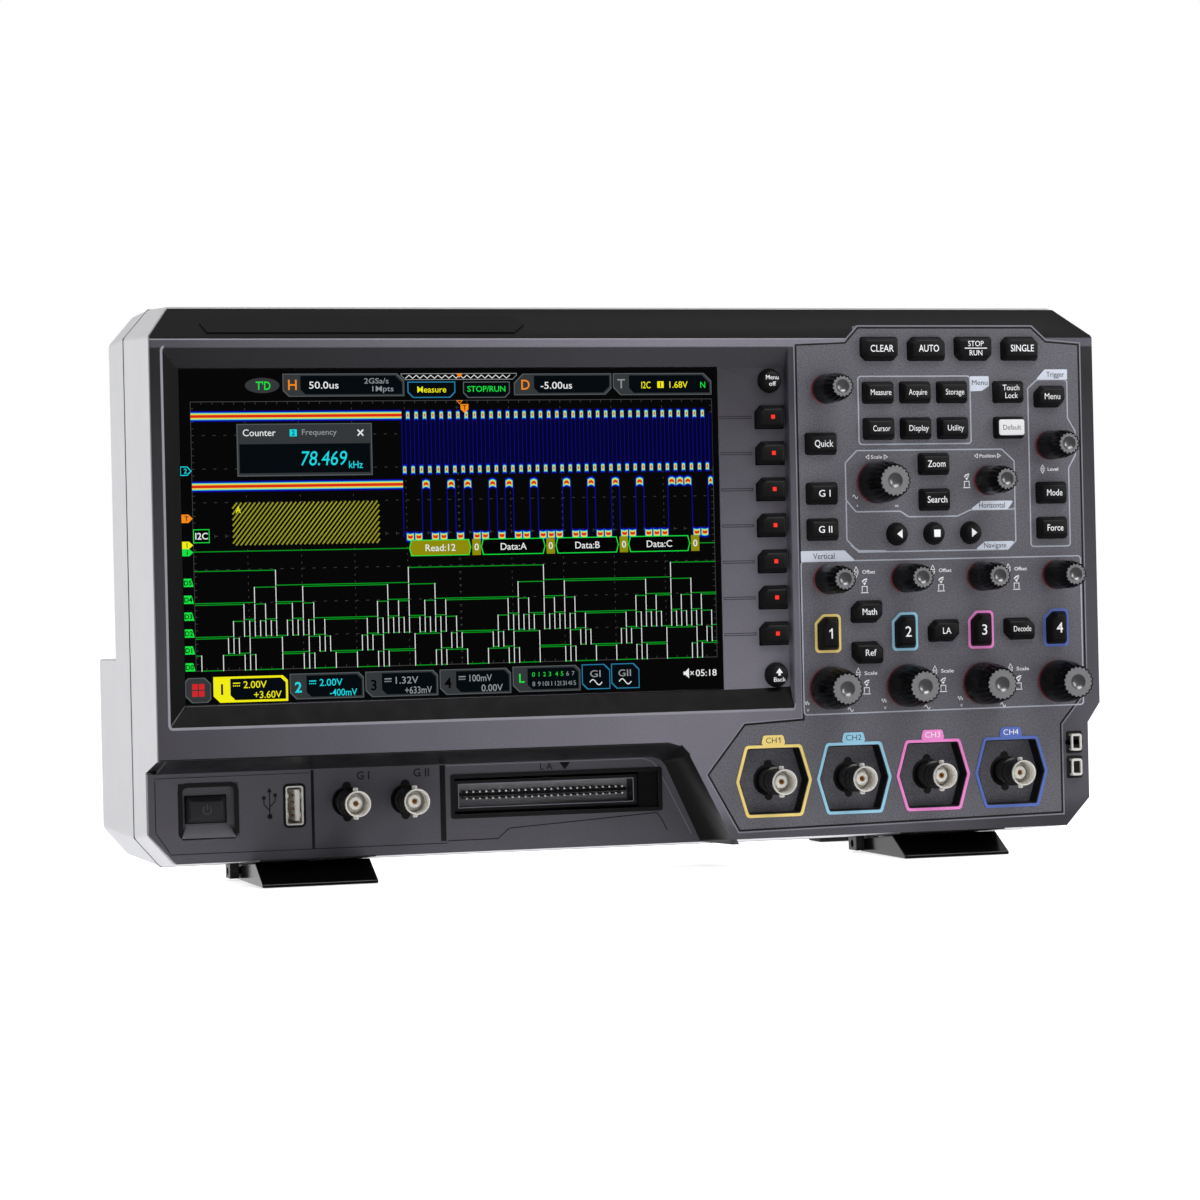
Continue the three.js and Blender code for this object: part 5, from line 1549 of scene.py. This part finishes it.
# Text, middle, height, layer and colour, and for some the width and weight of the letters.
TOP_TEXTS = (
    ("T'D", 152.5, 25.2, 14.6, 4, "green", 27, 0.012),
    ("H", 206.6, 24, 18.4, 5, "orange", 16, 0.008),
    ("50.0us", 265, 24.6, 12.6, 5, "white", 55),
    ("2GSa/s", 364, 17.2, 9.6, 5, "grey", 46),
    ("1Mpts", 374.6, 31.6, 9.6, 5, "grey", 40),
    ("Measure", 468.3, 33.6, 11.0, 6, "yellow", 55, 0.006),
    ("STOP/RUN", 573.3, 33.0, 10.2, 6, "green", 73, 0.008),
    ("D", 648.2, 25.6, 18, 5, "orange", 16, 0.008),
    ("-5.00us", 708.4, 27.0, 12.6, 5, "white", 61),
    ("T", 835.2, 24.6, 17, 5, "grey", 15, 0.004),
    ("I2C", 883.6, 27.2, 12.4, 5, "yellow", 18),
    ("1", 912.5, 26.6, 8.6, 6, "off", None, 0.02),
    ("1.68V", 946.6, 26.8, 11.8, 5, "yellow", 36),
    ("N", 996.4, 27.4, 11.4, 5, "green", 9.6),
    ("T", 530.3, 67.4, 8.2, 9, "off", None, 0.01))


def draw_top_row(picture):
    """State, time base, overview of the record, menus, delay and trigger, from left to right."""
    ring = [(150.5 + 32 * math.cos(k * math.pi / 16), 24.8 + 14 * math.sin(k * math.pi / 16))
            for k in range(32)]
    picture.poly(ring, 2, "plate")
    read_out(picture, 188.5, 3.5, 228, 42, 33, {"tr": 13, "bl": 11})
    picture.cut_box(410.5, 3.8, 221.5, 12, {"br": 8, "bl": 8}, 2, "grey")
    picture.cut_box(411.7, 5.0, 219.1, 9.6, {"br": 7, "bl": 7}, 3, "off")
    teeth = [(419 + 6.9 * k, 7.0 if k % 2 else 13.0) for k in range(30)]
    picture.route(teeth, 1.3, 4, "white")
    picture.poly([(516, 4.5), (528, 4.5), (522, 12.5)], 5, "orange")
    picture.cut_box(422.6, 19, 91, 30, {"br": 10, "bl": 10}, 4, "edge")
    picture.cut_box(424.4, 20.8, 87.4, 26.4, {"br": 9.4, "bl": 9.4}, 5, "deep")
    picture.cut_box(528.4, 19.4, 89.8, 30.2, {"br": 9, "bl": 9}, 4, "frame")
    picture.cut_box(530.2, 21.2, 86.2, 26.6, {"br": 8.4, "bl": 8.4}, 5, "deep")
    read_out(picture, 626.2, 5.0, 189.6, 40, 39, {"tl": 17, "br": 12})
    read_out(picture, 819.2, 5.0, 194.4, 41, 31.5, {"tr": 15, "bl": 14})
    picture.bar(906.2, 20.4, 12.6, 12.4, 5, "yellow")
    picture.poly([(514.8, 54.0), (527.6, 54.0), (521.2, 61.2)], 4, "orange")
    picture.poly([(517.6, 55.2), (524.8, 55.2), (521.2, 59.4)], 5, "off")
    picture.poly([(522.8, 61), (537.8, 61), (537.6, 71), (530.2, 77), (523.0, 71)], 8, "orange")
    for text in TOP_TEXTS:
        picture.write(*text)


# For each channel: left edge and width of its field, number, scale, offset, colours of rim and text.
CHANNEL_FIELDS = (
    (48.2, 137.6, "1", "2.00V", "+3.60V", "yellow", "yellow"),
    (189.4, 138.4, "2", "2.00V", "-400mV", "frame", "cyan"),
    (330.8, 137.4, "3", "1.32V", "+633mV", "frame", "grey"),
    (471.6, 136.4, "4", "100mV", "0.00V", "frame", "grey"))


def draw_bottom_row(picture):
    """Menu tile, channels, logic lines, generators, loudspeaker and clock, from left to right."""
    picture.cut_box(-3.6, 554, 47.4, 45.6, {"tl": 6, "tr": 11, "br": 6, "bl": 12}, 2, "frame")
    picture.cut_box(-2.0, 555.6, 44.2, 42.4, {"tl": 6, "tr": 11, "br": 6, "bl": 12}, 3, "plate")
    for u in (9.2, 21.4):
        for v in (565.0, 577.6):
            picture.bar(u, v, 10.2, 10.6, 4, "tile")
    for left, wide, number, scale, offset, rim, tone in CHANNEL_FIELDS:
        on = rim == "yellow"
        read_out(picture, left, 553.4 if on else 551.4, wide, 47, 31, {"tr": 9, "bl": 12}, rim,
                 "yellow" if on else "plate")
        dim = "off" if tone == "grey" else tone
        picture.write(number, left + 15.6, 576.4, 18.4, 6, "off" if on else dim, weight=0.02)
        picture.bar(left + 36, 564.6, 13.2, 2.0, 6, tone)
        for k in range(4):
            picture.bar(left + 36 + 3.5 * k, 569.4, 2.2, 2.0, 6, tone)
        picture.write(scale, left + 76.4, 568.8, 12.4, 6, tone, 43)
        picture.write(offset, left + 99.4, 587.6, 12.4, 6, tone, 51 if len(offset) > 5 else 41)
    read_out(picture, 611.4, 549.8, 131.2, 47.6, 28.6, {"tr": 9, "bl": 12})
    picture.write("L", 628, 571.8, 16, 6, "green", 10.4, 0.012)
    for k in range(16):
        u = 651.6 + 10.6 * (k % 8) + (2.4 if k % 8 > 3 else 0)
        v = 565.4 if k < 8 else 583.0
        picture.write(str(k), u, v, 8.2, 6, "green" if k < 6 else "grey", weight=-0.004)
    for left, text in ((745.6, "GI"), (803.0, "GII")):
        cuts = {"tr": 11, "bl": 10}
        picture.cut_box(left, 549.4, 55.2, 47, cuts, 2, "edge")
        picture.cut_box(left + 1.6, 551, 52, 43.8, cuts, 3, "deep")
        picture.write(text, left + 26.6, 567.2, 12.4, 4, "grey", 20.4 if text == "GI" else 24.6)
        wave = [(left + 15 + 1.5 * k, 583.2 - 5 * math.sin(k * math.pi / 8)) for k in range(17)]
        picture.route(wave, 1.7, 4, "white")
    picture.poly([(946, 571.4), (956.4, 561.8), (956.4, 581.0)], 3, "white")
    picture.bar(945.6, 568.4, 5.4, 6.0, 3, "white")
    for sign in (1, -1):
        picture.route([(959.4, 571.4 - 3.4 * sign), (965.8, 571.4 + 3.4 * sign)], 1.4, 3, "white")
    picture.write("05:18", 990.6, 571.4, 12.0, 3, "white", 41.6)


def draw_counter(picture):
    """A small window over the traces, with a frequency counter."""
    picture.bar(101.2, 94.6, 252, 95.6, 8, "frame")
    picture.bar(103, 96.2, 248.4, 92.2, 9, "plate")
    picture.bar(105.6, 131.6, 243.6, 53.0, 10, "deep")
    picture.write("Counter", 142.4, 110.8, 12.0, 11, "white", 61, 0.004)
    picture.bar(199.4, 105.2, 13.2, 12.8, 10, "cyan")
    picture.write("2", 206, 111.6, 9.0, 11, "off", weight=0.01)
    picture.write("Frequency", 254, 110.4, 10.2, 11, "grey", 65)
    for sign in (1, -1):
        picture.route([(326.4, 112.2 - 5.4 * sign), (337.0, 112.2 + 5.4 * sign)], 2.6, 11, "white")
    picture.write("78.469", 260.6, 158.4, 25.6, 11, "cyan", 86, 0.0, 0.16)
    picture.write("kHz", 321.4, 170.6, 13.0, 11, "cyan", 26)


def draw_mask(picture):
    """A zone drawn on the screen, striped from lower left to upper right."""
    left, right, top, low = 90.4, 364.0, 237.8, 315.2
    pitch, slant = 8.45, 62.0
    for k in range(int((right - left + slant) / pitch) + 1):
        foot = left - slant + k * pitch
        lower, upper = (foot, low), (foot + slant, top)
        if foot < left:
            share = (left - foot) / slant
            lower = (left, low + (top - low) * share)
        if foot + slant > right:
            share = (right - foot) / slant
            upper = (right, low + (top - low) * share)
        if upper[0] - lower[0] > 2:
            picture.route([lower, upper], 2.6, 3, "hatch")
    picture.write("A", 101, 250.4, 11.6, 5, "yellow", 9.6, 0.012)


def draw_side_tags(picture):
    """Arrows at the left edge that mark where each trace is nought."""
    tags = ((179.2, 8.4, "cyan", "2"), (265.4, 7.6, "orange", "T"), (313.6, 6.6, "yellow", "1"),
            (326.8, 6.6, "green", "1"))
    for v, half, tone, text in tags:
        outer = [(-3.8, v - half), (9.2, v - half), (17.0, v), (9.2, v + half), (-3.8, v + half)]
        picture.poly(outer, 5, tone)
        if tone == "cyan":
            inner = [(-2.6, v - half + 1.6), (8.4, v - half + 1.6), (14.6, v),
                     (8.4, v + half - 1.6), (-2.6, v + half - 1.6)]
            picture.poly(inner, 6, "off")
        picture.write(text, 5.6, v, 8.6, 7, "cyan" if tone == "cyan" else "off", weight=0.01)


def make_picture():
    picture = Picture()
    for draw in (draw_grid, draw_serial, draw_logic_rows, draw_decode_row, draw_top_row,
                 draw_bottom_row, draw_counter, draw_mask, draw_side_tags):
        draw(picture)
    picture.build("display_picture", [INKS[name] for name in SLOTS])


make_picture()

# ---- rear ------------------------------------------------------------------------------------
REAR_Y = 131.0                  # rear face of the lower bulge
UPPER_REAR_Y = 91.5             # rear face above the bulge
PORTS_LOW, PORTS_HIGH = node_box("rear_ports")
PORTS_X = -88.0
PORTS_Z = (PORTS_LOW.z + PORTS_HIGH.z) / 2
PORT_FACE = REAR_Y + 0.4
FAN_X, FAN_Z = -110, 134
MAINS_X = 136.0
# Middle, from the middle of the ports, and width, height and depth of each socket.
REAR_SOCKETS = {"network": (-42, 2, 15.5, 12.5, 16), "usb_device": (-20, 1, 8.6, 7.9, 12),
                "usb_host": (-2, 1, 12.6, 5.2, 13), "video": (18, 1, 15.2, 5.6, 12)}


def rear_words(shape, text, x, z, height, y, width=None):
    """Lettering that faces the rear, standing out from depth y."""
    flat_text = Shape()
    flat_text.words(text, 0, z, height, 0, width=width)
    shape.add([(x - p.x, y - p.y, p.z) for p in flat_text.points], flat_text.faces)


def make_rear_sockets():
    shells, tongues, contacts, liner = Shape(), Shape(), Shape(), Shape()
    for name, (dx, dz, width, height, depth) in REAR_SOCKETS.items():
        x, z, floor = PORTS_X + dx, PORTS_Z + dz, PORT_FACE - depth
        if name == "network":
            inner = [(-5.9, -4.5), (5.9, -4.5), (5.9, 2.3), (3, 2.3), (3, 4.4), (-3, 4.4),
                     (-3, 2.3), (-5.9, 2.3)]
            outer = [(-7.7, -6.2), (7.7, -6.2), (7.7, 2.3), (7.7, 6.2), (3, 6.2), (-3, 6.2),
                     (-7.7, 6.2), (-7.7, 2.3)]
            liner.band([(x + u, z + v) for u, v in inner], [(x + u, z + v) for u, v in outer],
                       floor + 0.1, PORT_FACE - 0.2)
            for i in range(8):
                across = x + (i - 3.5) * 1.02
                contacts.box((across - 0.2, across + 0.2), (floor + 1, PORT_FACE - 3),
                             (z - 3.4, z - 3.0))
            continue
        shells.band(grow(rectangle(x, z, width, height), -0.5),
                    rectangle(x, z, width - 0.1, height - 0.1), floor + 0.1, PORT_FACE + 0.25)
        tongue_height = 3.0 if name == "usb_device" else 1.3
        tongue_z = z if name == "usb_device" else z + 0.35
        tongues.box((x - width / 2 + 1.7, x + width / 2 - 1.7), (floor + 0.1, PORT_FACE - 1.2),
                    (tongue_z - tongue_height / 2, tongue_z + tongue_height / 2))
        count = 9 if name == "video" else 4
        for i in range(count):
            across = x + (i - (count - 1) / 2) * (width - 4.6) / count
            low = tongue_z - tongue_height / 2 - 0.05
            contacts.box((across - 0.25, across + 0.25), (floor + 1, PORT_FACE - 2), (low, low + 0.1))
    shells.build("rear_socket_shells", [NICKEL], slot="connector_shell")
    tongues.build("rear_socket_tongues", [BLACK])
    contacts.build("rear_socket_contacts", [GOLD])
    liner.build("network_socket_liner", [BLACK])


def make_rear_bnc():
    """Bayonet connector of the trigger output, which faces the rear."""
    x, z, front = PORTS_X + 44, PORTS_Z, PORT_FACE
    metal = Shape()
    metal.lathe(behind(front, [
        (0, 0.02), (7.2, 0.02), (7.2, 1.5), (6.9, 1.8), (4.86, 1.8), (4.86, 1.9), (0, 1.9)]), x, z, 6)
    metal.lathe(behind(front, [
        (4.15, 7.6), (4.87, 7.6), (4.9, 7.9), (4.75, 8.15), (4.3, 8.15), (4.15, 7.9), (4.15, 7.6)]),
        x, z, 48)
    for side in (-1, 1):
        outline = circle(0, 0, 0.98, 14)
        ring = [(x + p.x, front + 5 + p.y, z + side * reach) for reach in (4.5, 5.85) for p in outline]
        skin = [[k, (k + 1) % 14, (k + 1) % 14 + 14, k + 14] for k in range(14)]
        faces = skin + [list(range(13, -1, -1)), list(range(14, 28))]
        metal.add(ring, faces if side > 0 else [face[::-1] for face in faces])
    metal.build("trigger_out_ring", [NICKEL], slot="connector_shell", smooth=38)
    inside = Shape()
    inside.lathe(behind(front, [
        (0, 1.2), (3.9, 1.2), (3.9, 2.4), (2.45, 2.5), (2.45, 4.4), (1.0, 4.4), (1.0, 3.2), (0, 3.2)]),
        x, z, 32)
    inside.build("trigger_out_insulator", [INSULATOR], smooth=38)
    contact = Shape()
    contact.lathe(behind(front, [(0, 3.1), (0.8, 3.1), (0.8, 5.0), (0.4, 5.2), (0, 4.9)]), x, z, 18)
    contact.build("trigger_out_contact", [GOLD], smooth=38)


def make_mains_blades():
    """The three blades of the mains inlet, with their ends drawn in, and the rim around it."""
    low, high = node_box("mains_inlet")
    x, z = MAINS_X, (low.z + high.z) / 2
    blades = Shape()
    for dx, dz in ((-7, -2), (7, -2), (0, 3)):
        section = rectangle(x + dx, z + dz, 2.1, 4.1)
        tip = rectangle(x + dx, z + dz, 1.2, 3.2)
        blades.loft([(113.1, section), (126.6, section), (127.6, tip)])
    blades.build("mains_blades", [NICKEL], smooth=30)
    rim = Shape()
    rim.band(rectangle(x, z, 27.6, 19.6), rectangle(x, z, 30.4, 23.4), REAR_Y + 0.5, REAR_Y + 1.2)
    rim.build("mains_rim", [BLACK], slot="black_plastic")


def make_screws():
    """Cross-head screws that hold the rear housing."""
    heads, slots = Shape(), Shape()
    places = [(side * 168, z, REAR_Y) for side in (-1, 1) for z in (8, 62)]
    places += [(side * 168, 186, UPPER_REAR_Y) for side in (-1, 1)]
    places += [(FAN_X + u * 38.5, FAN_Z + v * 38.5, UPPER_REAR_Y) for u in (-1, 1) for v in (-1, 1)]
    for x, z, y in places:
        heads.lathe([(0, y), (3.1, y), (3.1, y + 0.5), (2.2, y + 1.1), (0, y + 1.3)], x, z, 24)
        for width, height in ((3.0, 0.6), (0.6, 3.0)):
            slots.plate(rectangle(x, z, width, height), y + 0.9, y + 1.32)
    heads.build("rear_screws", [STEEL], slot="light_plastic", smooth=30)
    slots.build("rear_screw_slots", [SHADOW], slot="light_plastic")


def make_rear_print():
    """Names under the ports, a blank rating plate, and lines around the ports and the mains inlet."""
    legends = Shape()
    below = PORTS_Z - 20.6
    for text, dx, width in (("LAN", -42, 7), ("USB DEVICE", -20, 16), ("USB HOST", -1, 13),
                            ("VIDEO", 18, 8), ("TRIG OUT", 44, 13)):
        rear_words(legends, text, PORTS_X + dx, below, 2.2, REAR_Y, width)
    legends.build("rear_legends", [DARK_INK], slot="light_plastic")
    plate = Shape()
    plate.plate(rounded(rectangle(30, 34, 62, 34), 2.0), REAR_Y, REAR_Y + 0.12)
    plate.build("blank_rating_plate", [ink("foil_grey", linear(168, 170, 174), 0.4)],
                slot="light_plastic")
    plate_edge = Shape()
    plate_edge.outline(rounded(rectangle(30, 34, 58, 30), 1.4), 0.35, REAR_Y, REAR_Y + 0.16)
    plate_edge.build("blank_rating_plate_line", [DARK_INK], slot="light_plastic")
    frame_line = Shape()
    frame_line.outline(rounded(rectangle(PORTS_X, PORTS_Z, 122, 36), 1.5), 0.5, REAR_Y, REAR_Y + 0.1)
    frame_line.outline(rounded(rectangle(MAINS_X, 34, 35, 28), 1.5), 0.5, REAR_Y, REAR_Y + 0.1)
    frame_line.build("rear_frame_lines", [SHADOW], slot="light_plastic")


def make_handle_ridges():
    """Shallow finger ridges on the middle of the handle."""
    top = node_box("handle")[1].z
    ridges = Shape()
    for i in range(13):
        ridges.plate(rectangle(-36 + 6 * i, top + 0.05, 1.6, 0.5), 66.5, 81.5)
    ridges.build("handle_ridges", [BLACK], BODY_OF["handle"], SLOT_OF["handle"])


make_rear_sockets()
make_rear_bnc()
make_mains_blades()
make_screws()
make_rear_print()
make_handle_ridges()
